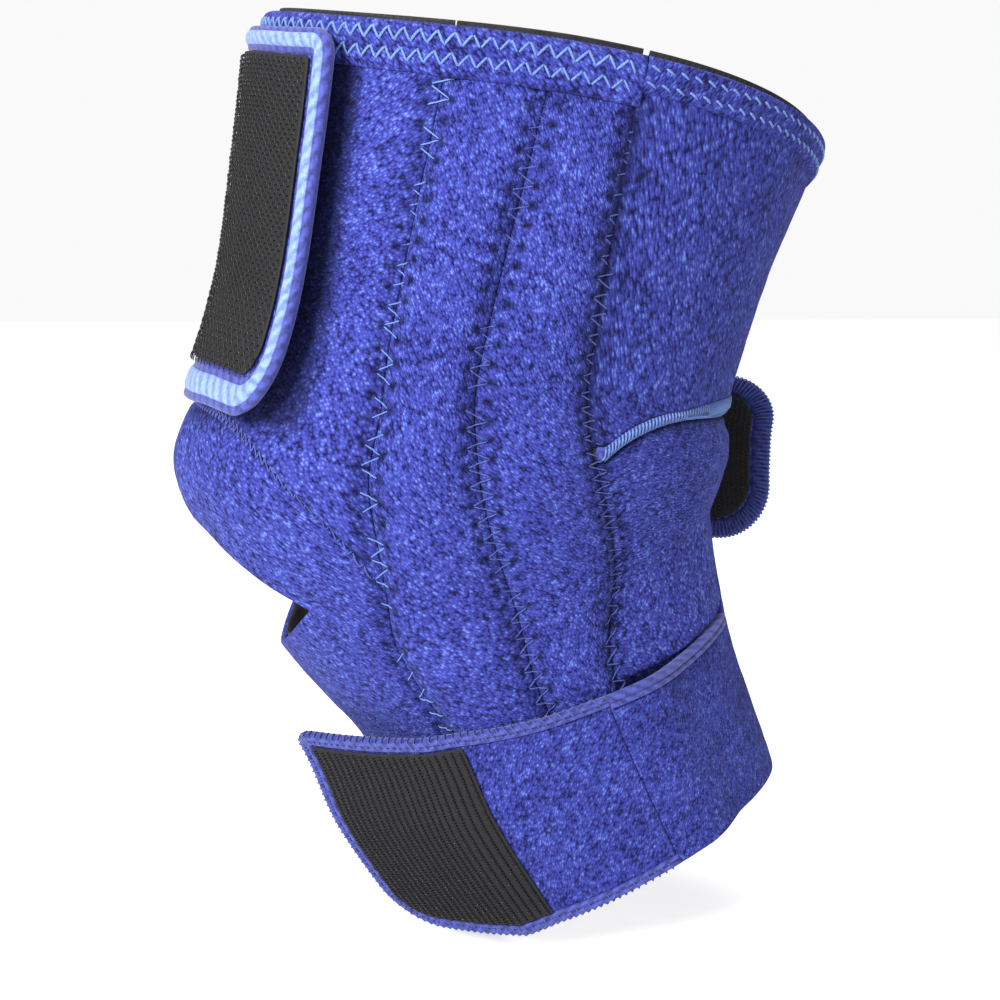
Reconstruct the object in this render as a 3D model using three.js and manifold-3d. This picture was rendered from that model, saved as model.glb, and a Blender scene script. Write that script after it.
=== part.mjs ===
// Cold compression wrap for the knee, in the shape it takes on a bent leg.
//
// Units are millimetres. +Z is up, the front of the knee faces -X, the outer side of the leg
// (lateral) faces -Y and the origin is the middle of the knee joint.
//
// Every piece is a sheet that follows the limb, so a point is given by
//   bearing - degrees round the limb: 0 lateral, 90 back, 180 medial, 270 front
//   level   - millimetres along the limb's centre line, up from the calf
//   off     - millimetres outwards from the skin
import * as THREE from 'three';
import { mergeVertices } from 'three/addons/utils/BufferGeometryUtils.js';
import Module from 'manifold-3d';

const wasm = await Module();
wasm.setup();

const { degToRad, clamp, smoothstep, lerp } = THREE.MathUtils;

// ---- driving dimensions ----

// The limb: a straight calf and a straight thigh joined by an arc behind the kneecap.
const CALF_TILT = degToRad(27);
const THIGH_TILT = degToRad(14.5);
const BEND = CALF_TILT + THIGH_TILT;
const KNEE_RADIUS = 110;
const KNEE_X = -3;
const KNEE_Z = 3;
const CALF_LENGTH = 112;

// Half-widths of the limb's oval section: level, front, back, side.
const LIMB = [
  [-8, 43, 50, 38],
  [30, 49, 55.5, 42],
  [58, 45.5, 63, 45],
  [85, 55, 72, 51],
  [108, 69, 76, 57],
  [121, 74.5, 76.5, 60],
  [135, 66, 76, 61],
  [150, 62.5, 73.5, 63],
  [190, 66, 75, 67],
  [228, 71, 80, 72],
];

// The three zigzag seams of the lateral side: level, bearing. The medial side mirrors them.
const SEAM_A = [[-8, -32], [60, -31], [83, -28], [95, -23], [108, -20], [130, -19], [153, -21.5], [228, -22]];
const SEAM_B = [[-8, 3], [54, 1.5], [83, 4.5], [123, 1.5], [150, -1], [228, -2]];
const SEAM_C = [[-8, 20], [54, 20.5], [76, 27.5], [103, 27], [129, 23.5], [152, 20.5], [192, 16.5], [228, 13]];

// Layers, counted outwards from the skin.
const LINING = 1.2;
const LAYER_GAP = 0.5;
const FRONT_GAP = 1.1;
const PANEL = 1.6;
const FOAM_PANEL = 2.3;
const CHANNEL_PUFF = 3.4;
const HEM_THICK = 2.6;
const STRAP = 2.6;
const SKIN_LIFT = 1.3;
const FRONT_LIFT = 5.6;
const CHANNEL_LIFT = 7.1;
const HOOK_TAPE = 1;
const HOOK_GAP = 0.45;

// Edges.
const BODY_BOTTOM = -6;
const HEM_WIDTH = 12;
const LINING_RISE = 1.6;
const SEAM_GAP = 0.3;
const EDGE_GAP = 0.4;
const SLIT_GAP = 1.5;

// The rim dips and rises round the thigh; the strap's own top drops towards its tab.
const RIM_LEVEL = 227.8;
const RIM_WAVE = 4.2;
const RIM_HIGH_SIDE = 38;
const STRAP_TOP_DROP = 5.2;

// The curved seam over the kneecap, and the kneecap opening.
const ARCH_TOP = 131;
const ARCH_DROP = 36;
const PATELLA_CENTRE = new THREE.Vector3(-55, 0, -25);
const PATELLA_AXIS = new THREE.Vector3(-0.82, 0, -0.57);
const PATELLA_HALF_WIDTH = 40;
const PATELLA_TOP = 29;
const PATELLA_BOTTOM = -17;
const PATELLA_CORNER = -9;
const PATELLA_DEPTH = 60;

// The rear knee panel under the slit.
const KNEE_PANEL_EDGE = 84;
const KNEE_PANEL_BOTTOM = 44;

// Where the straps hinge when they are peeled open.
const UPPER_HINGE = 205;
const UPPER_TAB_HINGE = 268;
const UPPER_TAB_LEAVE = 298;
const UPPER_TAB_RISE = 1.8;
const LOWER_HINGE = 50;
const LOWER_TAB_HINGE = -23;
const LOWER_TAB_LEAVE = -36;
const LOWER_TAB_RISE = 2.2;
const KNEE_STRAP_ROOT = 151.6;
const HINGE_GAP = 0.6;

// Colours.
const BLUE = 0x454fc4;
const DARK_BLUE = 0x2b3290;
const LIGHT_BLUE = 0x6f8ce0;
const BLACK = 0x17171b;
const GEL = 0x6fb7dd;

// ---- the limb ----

function along(rows, level, column) {
  const last = rows.length - 1;
  const slope = (i) => {
    const a = rows[Math.max(i - 1, 0)];
    const b = rows[Math.min(i + 1, last)];
    return (b[column] - a[column]) / (b[0] - a[0]);
  };
  let i = 0;
  while (i < last - 1 && level > rows[i + 1][0]) i += 1;
  const span = rows[i + 1][0] - rows[i][0];
  const t = (level - rows[i][0]) / span;
  if (t < 0) return rows[0][column] + slope(0) * (level - rows[0][0]);
  if (t > 1) return rows[last][column] + slope(last) * (level - rows[last][0]);
  const rise = slope(i) * span * t * (1 - t) * (1 - t) - slope(i + 1) * span * t * t * (1 - t);
  return rows[i][column] + (rows[i + 1][column] - rows[i][column]) * t * t * (3 - 2 * t) + rise;
}

const TANGENT = KNEE_RADIUS * Math.tan(BEND / 2);
const KNEE_START = CALF_LENGTH - TANGENT;
const ARC_X = KNEE_X + TANGENT * Math.sin(CALF_TILT) + KNEE_RADIUS * Math.cos(CALF_TILT);
const ARC_Z = KNEE_Z - TANGENT * Math.cos(CALF_TILT) + KNEE_RADIUS * Math.sin(CALF_TILT);

// Centre and lean of the limb's section at a level.
function limb(level) {
  const turned = clamp((level - KNEE_START) / KNEE_RADIUS, 0, BEND);
  const lean = turned - CALF_TILT;
  const straight = level - KNEE_START - turned * KNEE_RADIUS;
  return {
    x: ARC_X - KNEE_RADIUS * Math.cos(lean) + straight * Math.sin(lean),
    z: ARC_Z + KNEE_RADIUS * Math.sin(lean) + straight * Math.cos(lean),
    lean,
  };
}

function skin(bearing, level, off) {
  const { x, z, lean } = limb(level);
  const turn = degToRad(bearing);
  const backwards = Math.sin(turn);
  const depth = along(LIMB, level, backwards < 0 ? 1 : 2) + off;
  const side = along(LIMB, level, 3) + off;
  return new THREE.Vector3(
    x + Math.cos(lean) * depth * backwards,
    -side * Math.cos(turn),
    z - Math.sin(lean) * depth * backwards,
  );
}

// ---- seams and edges ----

const seamA = (level) => along(SEAM_A, level, 1);
const seamB = (level) => along(SEAM_B, level, 1);
const seamC = (level) => along(SEAM_C, level, 1);
const mirror = (seam) => (level) => 180 - seam(level);
const before = (seam) => (level) => seam(level) - SEAM_GAP;
const after = (seam) => (level) => seam(level) + SEAM_GAP;

// The top edge is highest on the sides and lower in front and behind.
function rim(bearing) {
  const side = 90 - Math.abs(((bearing + 450) % 360) - 180);
  return RIM_LEVEL + RIM_WAVE * Math.cos(degToRad(2 * (side - RIM_HIGH_SIDE)));
}

const arch = (u) => ARCH_TOP - ARCH_DROP * Math.abs(1 - 2 * u) ** 4;

// Lower edge of the upper strap: the slit on the lateral side, then round to the front.
function upperStrapBottom(bearing) {
  const slit = 125 + 28 * (1 - Math.exp(-Math.max(bearing - 26, 0) / 17)) + 10 * smoothstep(bearing, 92, 122);
  return lerp(slit, 131.5, smoothstep(bearing, 165, 235));
}

function upperStrapTop(bearing) {
  const drop = lerp(0, STRAP_TOP_DROP, smoothstep(bearing, 120, 235));
  return rim(bearing) - drop;
}

const upperLift = (bearing) => {
  const climb = lerp(SKIN_LIFT, CHANNEL_LIFT, smoothstep(bearing, 105, 152));
  return lerp(climb, FRONT_LIFT, smoothstep(bearing, 212, 232));
};

// The tab's end stands a little further off the wrap than the strap.
function upperTabLift(bearing) {
  return upperLift(bearing) + UPPER_TAB_RISE * smoothstep(bearing, UPPER_TAB_HINGE, UPPER_TAB_LEAVE);
}

// Upper edge of the lower strap: over the channels, then up behind the knee panels.
function lowerStrapTop(bearing) {
  const forward = 23 * (Math.max(45 - bearing, 0) / 102.5) ** 1.3;
  const lateralCorner = smoothstep(bearing, 70, 88);
  const medialCorner = smoothstep(180 - bearing, 70, 88);
  return KNEE_PANEL_BOTTOM + forward + 24 * lateralCorner * medialCorner;
}

const lowerStrapBottom = (bearing) => lerp(-9, -5, smoothstep(Math.abs(bearing - 90), 0, 90));

const lowerLift = (bearing) => {
  const climb = smoothstep(50 - bearing, 4, 27);
  return lerp(SKIN_LIFT, CHANNEL_LIFT, climb);
};

// The lower tab's end stands off the wrap in the same way.
function lowerTabLift(bearing) {
  return lowerLift(bearing) + LOWER_TAB_RISE * smoothstep(-bearing, -LOWER_TAB_HINGE, -LOWER_TAB_LEAVE);
}

// ---- solids ----

function closedBody(points, triangles) {
  let volume = 0;
  const normal = new THREE.Vector3();
  for (const [a, b, c] of triangles) {
    normal.crossVectors(points[b], points[c]);
    volume += points[a].dot(normal);
  }
  const geometry = new THREE.BufferGeometry();
  geometry.setFromPoints(points);
  const facing = volume > 0 ? triangles : triangles.map(([a, b, c]) => [a, c, b]);
  geometry.setIndex(facing.flat());
  return geometry;
}

// A sheet with thickness: pair(u, v) gives its inner and outer point at a place on the grid.
function slab(columns, rows, pair) {
  const points = [];
  for (let i = 0; i <= columns; i += 1) {
    for (let j = 0; j <= rows; j += 1) points.push(...pair(i / columns, j / rows));
  }
  const at = (i, j, layer) => 2 * (i * (rows + 1) + j) + layer;
  const triangles = [];
  const quad = (a, b, c, d) => triangles.push([a, b, c], [a, c, d]);
  for (let i = 0; i < columns; i += 1) {
    for (let j = 0; j < rows; j += 1) {
      quad(at(i, j, 1), at(i + 1, j, 1), at(i + 1, j + 1, 1), at(i, j + 1, 1));
      quad(at(i, j, 0), at(i, j + 1, 0), at(i + 1, j + 1, 0), at(i + 1, j, 0));
    }
  }
  for (let i = 0; i < columns; i += 1) {
    quad(at(i, 0, 0), at(i + 1, 0, 0), at(i + 1, 0, 1), at(i, 0, 1));
    quad(at(i, rows, 1), at(i + 1, rows, 1), at(i + 1, rows, 0), at(i, rows, 0));
  }
  for (let j = 0; j < rows; j += 1) {
    quad(at(0, j, 1), at(0, j + 1, 1), at(0, j + 1, 0), at(0, j, 0));
    quad(at(columns, j, 0), at(columns, j + 1, 0), at(columns, j + 1, 1), at(columns, j, 1));
  }
  return closedBody(points, triangles);
}

// A panel between two seams. Levels come from u, then bearings from the level.
function panel({ left, right, bottom, top, columns, rows, inner, outer }) {
  return slab(columns, rows, (u, v) => {
    const level = lerp(bottom(u), top(u), v);
    const bearing = lerp(left(level), right(level), u);
    return [skin(bearing, level, inner(u, v, bearing)), skin(bearing, level, outer(u, v, bearing))];
  });
}

// A strap between two bearings, with its edges given by bearing.
function strap({ from, to, bottom, top, columns, rows, inner, outer }) {
  return slab(columns, rows, (u, v) => {
    const bearing = lerp(from, to, u);
    const level = lerp(bottom(bearing), top(bearing), v);
    return [skin(bearing, level, inner(bearing)), skin(bearing, level, outer(bearing))];
  });
}

function toManifold(geometry) {
  const merged = mergeVertices(geometry);
  return new wasm.Manifold(new wasm.Mesh({
    numProp: 3,
    vertProperties: new Float32Array(merged.attributes.position.array),
    triVerts: new Uint32Array(merged.index.array),
  }));
}

function fromManifold(solid) {
  const mesh = solid.getMesh();
  const geometry = new THREE.BufferGeometry();
  geometry.setAttribute('position', new THREE.BufferAttribute(new Float32Array(mesh.vertProperties), 3));
  geometry.setIndex(new THREE.BufferAttribute(new Uint32Array(mesh.triVerts), 1));
  return geometry;
}

// ---- body panels ----

const constant = (value) => () => value;

const channelBump = (u, v) => (1 - Math.abs(2 * u - 1) ** 4) * (1 - Math.abs(2 * v - 1) ** 10);
const panelInner = (u, v) => LINING + LAYER_GAP + CHANNEL_PUFF * channelBump(u, v);
const panelOuter = (u, v) => panelInner(u, v) + PANEL;

const bodyTop = (left, right) => (u) => rim(lerp(left(228), right(228), u)) - HEM_WIDTH - EDGE_GAP;

function channelPanel(left, right) {
  return panel({
    left: after(left),
    right: before(right),
    bottom: constant(BODY_BOTTOM),
    top: bodyTop(left, right),
    columns: 6,
    rows: 20,
    inner: panelInner,
    outer: panelOuter,
  });
}

// A gel strip fills its channel between the lining and the panel.
const GEL_EDGE = 0.1;
const GEL_CLEAR = 0.8;
const gelPlace = (u) => lerp(GEL_EDGE, 1 - GEL_EDGE, u);

function gelStrip(left, right) {
  const top = bodyTop(left, right);
  return panel({
    left: (height) => lerp(left(height), right(height), GEL_EDGE),
    right: (height) => lerp(left(height), right(height), 1 - GEL_EDGE),
    bottom: (u) => lerp(BODY_BOTTOM, top(u), GEL_EDGE),
    top: (u) => lerp(BODY_BOTTOM, top(u), 1 - GEL_EDGE),
    columns: 4,
    rows: 16,
    inner: constant(LINING + LAYER_GAP),
    outer: (u, v) => panelInner(gelPlace(u), gelPlace(v)) - GEL_CLEAR,
  });
}

const foamInner = constant(LINING + FRONT_GAP);
const foamOuter = constant(LINING + FRONT_GAP + FOAM_PANEL);
const frontLeft = (height) => seamA(height) - SEAM_GAP;
const frontRight = (height) => -180 - seamA(height) + SEAM_GAP;

const thighFront = panel({
  left: frontLeft,
  right: frontRight,
  bottom: (u) => arch(u) + EDGE_GAP,
  top: (u) => rim(lerp(seamA(228), -180 - seamA(228), u)) - HEM_WIDTH - EDGE_GAP,
  columns: 22,
  rows: 16,
  inner: foamInner,
  outer: foamOuter,
});

// The kneecap opening runs through the cup panel and its lining.
function patellaCutter(margin) {
  const reach = PATELLA_HALF_WIDTH + margin;
  const shape = new THREE.Shape();
  shape.moveTo(-reach, PATELLA_CORNER);
  shape.quadraticCurveTo(0, 2 * (PATELLA_BOTTOM - margin) - PATELLA_CORNER, reach, PATELLA_CORNER);
  shape.quadraticCurveTo(0, 2 * (PATELLA_TOP + margin) - PATELLA_CORNER, -reach, PATELLA_CORNER);
  const geometry = new THREE.ExtrudeGeometry(shape, {
    depth: PATELLA_DEPTH, bevelEnabled: false, curveSegments: 20,
  });
  geometry.deleteAttribute('normal');
  geometry.deleteAttribute('uv');
  geometry.translate(0, 0, -PATELLA_DEPTH / 2);
  const axis = PATELLA_AXIS.clone().normalize();
  const across = new THREE.Vector3(0, 1, 0);
  const upwards = new THREE.Vector3().crossVectors(across, axis);
  const frame = new THREE.Matrix4().makeBasis(across, upwards, axis.negate());
  frame.setPosition(PATELLA_CENTRE);
  geometry.applyMatrix4(frame);
  return toManifold(geometry);
}

function cutPatella(geometry, margin) {
  return fromManifold(toManifold(geometry).subtract(patellaCutter(margin)));
}

const kneeCup = cutPatella(panel({
  left: frontLeft,
  right: frontRight,
  bottom: constant(BODY_BOTTOM),
  top: (u) => arch(u) - EDGE_GAP,
  columns: 20,
  rows: 20,
  inner: foamInner,
  outer: foamOuter,
}), 0);

const lateralKneePanel = panel({
  left: (level) => seamC(level) + 1.5 * SEAM_GAP,
  right: constant(KNEE_PANEL_EDGE),
  bottom: (u) => lowerStrapTop(lerp(seamC(50), KNEE_PANEL_EDGE, u)) + EDGE_GAP,
  top: (u) => upperStrapBottom(lerp(seamC(129), KNEE_PANEL_EDGE, u)) - SLIT_GAP,
  columns: 14,
  rows: 10,
  inner: constant(SKIN_LIFT),
  outer: constant(SKIN_LIFT + STRAP),
});

// The hem folds over the top edge of the body from seam C round the front to its mirror.
const hemLeft = after(mirror(seamC));
const topHem = strap({
  from: hemLeft(220),
  to: 360 + seamC(228) - 2 * SEAM_GAP,
  bottom: (bearing) => rim(bearing) - HEM_WIDTH,
  top: rim,
  columns: 34,
  rows: 2,
  inner: foamInner,
  outer: constant(LINING + FRONT_GAP + HEM_THICK),
});

// ---- linings ----

function lining(left, right, columns) {
  return panel({
    left: after(left),
    right: before(right),
    bottom: constant(BODY_BOTTOM),
    top: (u) => rim(lerp(left(228), right(228), u)) + LINING_RISE,
    columns,
    rows: 34,
    inner: constant(0),
    outer: constant(LINING),
  });
}

const frontLining = cutPatella(lining((height) => -180 - seamA(height), seamA, 18), -1.5);

// ---- straps on the limb ----

const strapOuter = (lift) => (bearing) => lift(bearing) + STRAP;

// The overlocked band that closes the lower edge of the upper strap, from the slit round the back.
const SLIT_BAND = 5;

const upperStrapRear = slab(24, 8, (u, v) => {
  const start = seamC(lerp(129, 228, v)) + SEAM_GAP;
  const bearing = lerp(start, UPPER_HINGE - HINGE_GAP, u);
  const height = lerp(upperStrapBottom(bearing) + SLIT_BAND + EDGE_GAP, upperStrapTop(bearing), v);
  return [skin(bearing, height, upperLift(bearing)), skin(bearing, height, upperLift(bearing) + STRAP)];
});

const slitBinding = strap({
  from: seamC(129) + 2 * SEAM_GAP,
  to: UPPER_HINGE - HINGE_GAP,
  bottom: upperStrapBottom,
  top: (bearing) => upperStrapBottom(bearing) + SLIT_BAND,
  columns: 24,
  rows: 1,
  inner: upperLift,
  outer: (bearing) => upperLift(bearing) + STRAP,
});

const upperStrapFront = strap({
  from: UPPER_HINGE + HINGE_GAP,
  to: UPPER_TAB_HINGE - HINGE_GAP,
  bottom: upperStrapBottom,
  top: upperStrapTop,
  columns: 10,
  rows: 8,
  inner: upperLift,
  outer: strapOuter(upperLift),
});

const lowerBandRear = strap({
  from: 180 - 20.5 - SEAM_GAP,
  to: LOWER_HINGE + HINGE_GAP,
  bottom: lowerStrapBottom,
  top: (bearing) => lowerStrapTop(bearing) - EDGE_GAP,
  columns: 20,
  rows: 6,
  inner: lowerLift,
  outer: strapOuter(lowerLift),
});

const PIPING = 4.2;

const lowerStrapSide = strap({
  from: LOWER_HINGE - HINGE_GAP,
  to: LOWER_TAB_HINGE + HINGE_GAP,
  bottom: lowerStrapBottom,
  top: (bearing) => lowerStrapTop(bearing) - EDGE_GAP - PIPING - EDGE_GAP,
  columns: 12,
  rows: 6,
  inner: lowerLift,
  outer: strapOuter(lowerLift),
});

const lowerStrapPiping = strap({
  from: LOWER_HINGE - HINGE_GAP,
  to: LOWER_TAB_HINGE + HINGE_GAP,
  bottom: (bearing) => lowerStrapTop(bearing) - EDGE_GAP - PIPING,
  top: (bearing) => lowerStrapTop(bearing) - EDGE_GAP,
  columns: 12,
  rows: 1,
  inner: lowerLift,
  outer: (bearing) => lowerLift(bearing) + STRAP + 0.5,
});

// ---- tabs: straps that leave the limb and stand off it ----

// A tab starts on the limb at `start`, follows it to `leave`, then runs on in a flatter curve.
// place(s, v, off): s is the run from the start, v the height from the lower edge.
function makeTab({
  start, leave, way, length, height, bottom, top, lift, degreesPerMm, curve, climb, slant, corners,
}) {
  const surfaceRun = Math.abs(leave - start) / degreesPerMm;
  const middle = (bottom(leave) + top(leave)) / 2;
  const side = skin(leave + way, middle, 0).sub(skin(leave - way, middle, 0)).normalize();
  const upwards = skin(leave, middle + 5, 0).sub(skin(leave, middle - 5, 0)).normalize();
  side.multiplyScalar(Math.cos(climb)).addScaledVector(upwards, Math.sin(climb)).normalize();
  const outwards = new THREE.Vector3().crossVectors(side, upwards).normalize();
  if (outwards.dot(skin(leave, middle, 10).sub(skin(leave, middle, 0))) < 0) outwards.negate();
  const place = (s, v, off) => {
    const bearing = s < surfaceRun ? start + way * s * degreesPerMm : leave;
    const height01 = v / height;
    const where = lerp(bottom(bearing), top(bearing), height01);
    const point = skin(bearing, where, lift(bearing));
    const normal = skin(bearing, where, lift(bearing) + 1).sub(point).normalize();
    if (s <= surfaceRun) return point.addScaledVector(normal, off);
    const run = s - surfaceRun;
    const turned = run * curve;
    const ahead = curve === 0 ? run : Math.sin(turned) / curve;
    const inwards = curve === 0 ? 0 : (1 - Math.cos(turned)) / curve;
    const blend = smoothstep(run, 0, 12);
    const facing = outwards.clone().multiplyScalar(Math.cos(turned)).addScaledVector(side, Math.sin(turned));
    normal.lerp(facing, blend).normalize();
    const reach = ahead * (1 + slant * (height01 - 0.5));
    point.addScaledVector(side, reach).addScaledVector(outwards, -inwards);
    return point.addScaledVector(normal, off);
  };
  return { length, height, corners, place };
}

// The tab's plate inside an inset from its three free edges, from a run `from`.
function tabPlate(tab, { from, inset, inner, outer, columns, rows }) {
  const length = tab.length - inset;
  const [low, high] = tab.corners.map((radius) => Math.max(radius - inset, 1.5));
  const round = (radius, d) => (d < radius ? radius - Math.sqrt(radius ** 2 - (radius - d) ** 2) : 0);
  return slab(columns, rows, (u, v) => {
    const s = lerp(from, length, Math.sin((u * Math.PI) / 2));
    const d = length - s;
    const bottom = inset + round(low, d);
    const top = tab.height - inset - round(high, d);
    const height = lerp(bottom, top, v);
    return [tab.place(s, height, inner), tab.place(s, height, outer)];
  });
}

// The free edge as a list of places with the direction that points into the tab.
function tabEdge(tab, from) {
  const [low, high] = tab.corners;
  const places = [];
  const straightSteps = 7;
  const cornerSteps = 5;
  for (let i = 0; i < straightSteps; i += 1) {
    places.push([lerp(from, tab.length - low, i / straightSteps), 0, 0, 1]);
  }
  for (let i = 0; i <= cornerSteps; i += 1) {
    const turn = (i / cornerSteps) * (Math.PI / 2);
    places.push([
      tab.length - low + low * Math.sin(turn), low - low * Math.cos(turn), -Math.sin(turn), Math.cos(turn),
    ]);
  }
  for (let i = 1; i < straightSteps; i += 1) {
    places.push([tab.length, lerp(low, tab.height - high, i / straightSteps), -1, 0]);
  }
  for (let i = 0; i <= cornerSteps; i += 1) {
    const turn = (i / cornerSteps) * (Math.PI / 2);
    places.push([
      tab.length - high + high * Math.cos(turn),
      tab.height - high + high * Math.sin(turn),
      -Math.cos(turn),
      -Math.sin(turn),
    ]);
  }
  for (let i = 1; i <= straightSteps; i += 1) {
    places.push([lerp(tab.length - high, from, i / straightSteps), tab.height, 0, -1]);
  }
  return places;
}

function tabBinding(tab, { from, width, inner, outer }) {
  const places = tabEdge(tab, from);
  return slab(places.length - 1, 1, (u, v) => {
    const [s, height, intoS, intoV] = places[Math.round(u * (places.length - 1))];
    const run = s + intoS * width * v;
    const rise = height + intoV * width * v;
    return [tab.place(run, rise, inner), tab.place(run, rise, outer)];
  });
}

const upperTab = makeTab({
  start: UPPER_TAB_HINGE + HINGE_GAP,
  leave: UPPER_TAB_LEAVE,
  way: 1,
  length: 68,
  height: 88,
  bottom: upperStrapBottom,
  top: upperStrapTop,
  lift: upperTabLift,
  degreesPerMm: 0.74,
  curve: 0.0045,
  climb: 0,
  slant: 0,
  corners: [13, 7],
});

const lowerTab = makeTab({
  start: LOWER_TAB_HINGE - HINGE_GAP,
  leave: LOWER_TAB_LEAVE,
  way: -1,
  length: 52,
  height: 72,
  bottom: lowerStrapBottom,
  top: (bearing) => lowerStrapTop(bearing) - EDGE_GAP,
  lift: lowerTabLift,
  degreesPerMm: 1.02,
  curve: 0.006,
  climb: degToRad(17),
  slant: 0,
  corners: [14, 5],
});

const kneeStrap = makeTab({
  start: KNEE_STRAP_ROOT,
  leave: KNEE_STRAP_ROOT - 2,
  way: -1,
  length: 69,
  height: 54,
  bottom: constant(73),
  top: constant(148),
  lift: constant(SKIN_LIFT),
  degreesPerMm: 0.95,
  curve: 0,
  climb: degToRad(-5),
  slant: 0.11,
  corners: [18, 16],
});

const BINDING = 5.5;

const tabBody = { inner: 0, outer: STRAP };

// ---- assembly ----

const materials = {
  pile: new THREE.MeshStandardMaterial({ color: BLUE, roughness: 0.95, metalness: 0 }),
  strap: new THREE.MeshStandardMaterial({ color: DARK_BLUE, roughness: 0.95, metalness: 0 }),
  binding: new THREE.MeshStandardMaterial({ color: LIGHT_BLUE, roughness: 0.8, metalness: 0 }),
  hook: new THREE.MeshStandardMaterial({ color: BLACK, roughness: 0.6, metalness: 0 }),
  lining: new THREE.MeshStandardMaterial({ color: BLACK, roughness: 0.9, metalness: 0 }),
  gel: new THREE.MeshStandardMaterial({ color: GEL, roughness: 0.3, metalness: 0 }),
};

const wrap = new THREE.Group();

function add(name, material, geometry) {
  geometry.computeVertexNormals();
  const mesh = new THREE.Mesh(geometry, materials[material]);
  mesh.name = name;
  wrap.add(mesh);
}

add('thigh_front_panel', 'pile', thighFront);
add('knee_cup_panel', 'pile', kneeCup);
add('lateral_channel_front', 'pile', channelPanel(seamA, seamB));
add('lateral_channel_rear', 'pile', channelPanel(seamB, seamC));
add('medial_channel_rear', 'pile', channelPanel(mirror(seamC), mirror(seamB)));
add('medial_channel_front', 'pile', channelPanel(mirror(seamB), mirror(seamA)));
add('lateral_knee_panel', 'pile', lateralKneePanel);
add('top_hem', 'pile', topHem);

add('front_lining', 'lining', frontLining);
add('lateral_lining', 'lining', lining(seamA, seamC, 8));
add('medial_lining', 'lining', lining(mirror(seamC), mirror(seamA), 8));

add('lateral_gel_front', 'gel', gelStrip(seamA, seamB));
add('lateral_gel_rear', 'gel', gelStrip(seamB, seamC));
add('medial_gel_rear', 'gel', gelStrip(mirror(seamC), mirror(seamB)));
add('medial_gel_front', 'gel', gelStrip(mirror(seamB), mirror(seamA)));

add('upper_strap_rear', 'strap', upperStrapRear);
add('slit_binding', 'binding', slitBinding);
add('upper_strap_front', 'strap', upperStrapFront);
add('upper_tab', 'strap', tabPlate(upperTab, {
  from: 0, inset: BINDING + EDGE_GAP, columns: 12, rows: 6, ...tabBody,
}));
add('upper_tab_binding', 'binding', tabBinding(upperTab, { from: 0, width: BINDING, ...tabBody }));
add('upper_hook_patch', 'hook', tabPlate(upperTab, {
  from: 4, inset: BINDING + 1.5, inner: STRAP + HOOK_GAP, outer: STRAP + HOOK_GAP + HOOK_TAPE, columns: 10, rows: 5,
}));

add('lower_band_rear', 'strap', lowerBandRear);
add('lower_strap_side', 'strap', lowerStrapSide);
add('lower_strap_piping', 'binding', lowerStrapPiping);
add('lower_tab', 'strap', tabPlate(lowerTab, {
  from: 0, inset: PIPING + EDGE_GAP, columns: 12, rows: 6, ...tabBody,
}));
add('lower_tab_binding', 'binding', tabBinding(lowerTab, { from: 0, width: PIPING, ...tabBody }));
add('lower_hook_patch', 'hook', tabPlate(lowerTab, {
  from: 5, inset: PIPING + 1.5, inner: STRAP + HOOK_GAP, outer: STRAP + HOOK_GAP + HOOK_TAPE, columns: 10, rows: 5,
}));

add('knee_strap', 'strap', tabPlate(kneeStrap, {
  from: 0, inset: BINDING + 2 * EDGE_GAP, columns: 8, rows: 4, ...tabBody,
}));
add('knee_strap_binding', 'binding', tabBinding(kneeStrap, { from: 0, width: BINDING, ...tabBody }));
add('knee_strap_hook_patch', 'hook', tabPlate(kneeStrap, {
  from: 14, inset: BINDING + 1.5, inner: -HOOK_GAP - HOOK_TAPE, outer: -HOOK_GAP, columns: 7, rows: 4,
}));

export default wrap;
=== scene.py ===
# The looks of the cold compression knee wrap: brushed-loop cloth, seams, edges and hook tape
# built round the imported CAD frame. Shapes are worked out in millimetres and written in metres.
#
# Every cloth piece follows the limb, so a point is given by
#   bearing - degrees round the limb: 0 lateral, 90 back, 180 medial, 270 front
#   level   - millimetres along the limb's centre line, up from the calf
#   off     - millimetres outwards from the skin
import math

import bpy
import numpy as np
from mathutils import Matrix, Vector


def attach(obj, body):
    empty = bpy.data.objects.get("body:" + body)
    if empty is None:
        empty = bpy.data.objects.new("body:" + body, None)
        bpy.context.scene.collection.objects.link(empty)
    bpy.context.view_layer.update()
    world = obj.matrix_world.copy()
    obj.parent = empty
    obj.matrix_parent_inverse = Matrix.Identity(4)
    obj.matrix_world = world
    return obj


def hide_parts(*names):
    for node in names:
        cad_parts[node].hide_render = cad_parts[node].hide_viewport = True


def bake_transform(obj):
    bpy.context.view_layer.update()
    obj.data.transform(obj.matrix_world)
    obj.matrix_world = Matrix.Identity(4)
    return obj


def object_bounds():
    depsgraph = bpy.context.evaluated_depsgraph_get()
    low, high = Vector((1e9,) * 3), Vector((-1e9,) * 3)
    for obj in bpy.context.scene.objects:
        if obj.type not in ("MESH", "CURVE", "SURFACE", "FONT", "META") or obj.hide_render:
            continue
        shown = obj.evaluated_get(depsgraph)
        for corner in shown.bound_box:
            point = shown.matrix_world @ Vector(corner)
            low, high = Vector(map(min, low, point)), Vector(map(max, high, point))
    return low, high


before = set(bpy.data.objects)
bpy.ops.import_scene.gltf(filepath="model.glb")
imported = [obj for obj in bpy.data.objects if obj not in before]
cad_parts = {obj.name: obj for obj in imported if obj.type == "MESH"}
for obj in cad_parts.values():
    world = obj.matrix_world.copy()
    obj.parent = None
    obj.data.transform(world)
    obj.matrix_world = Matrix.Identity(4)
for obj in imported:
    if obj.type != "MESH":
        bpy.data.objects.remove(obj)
cad_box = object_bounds()

MM = 0.001

# ---- the limb, as in the CAD model ----

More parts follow.
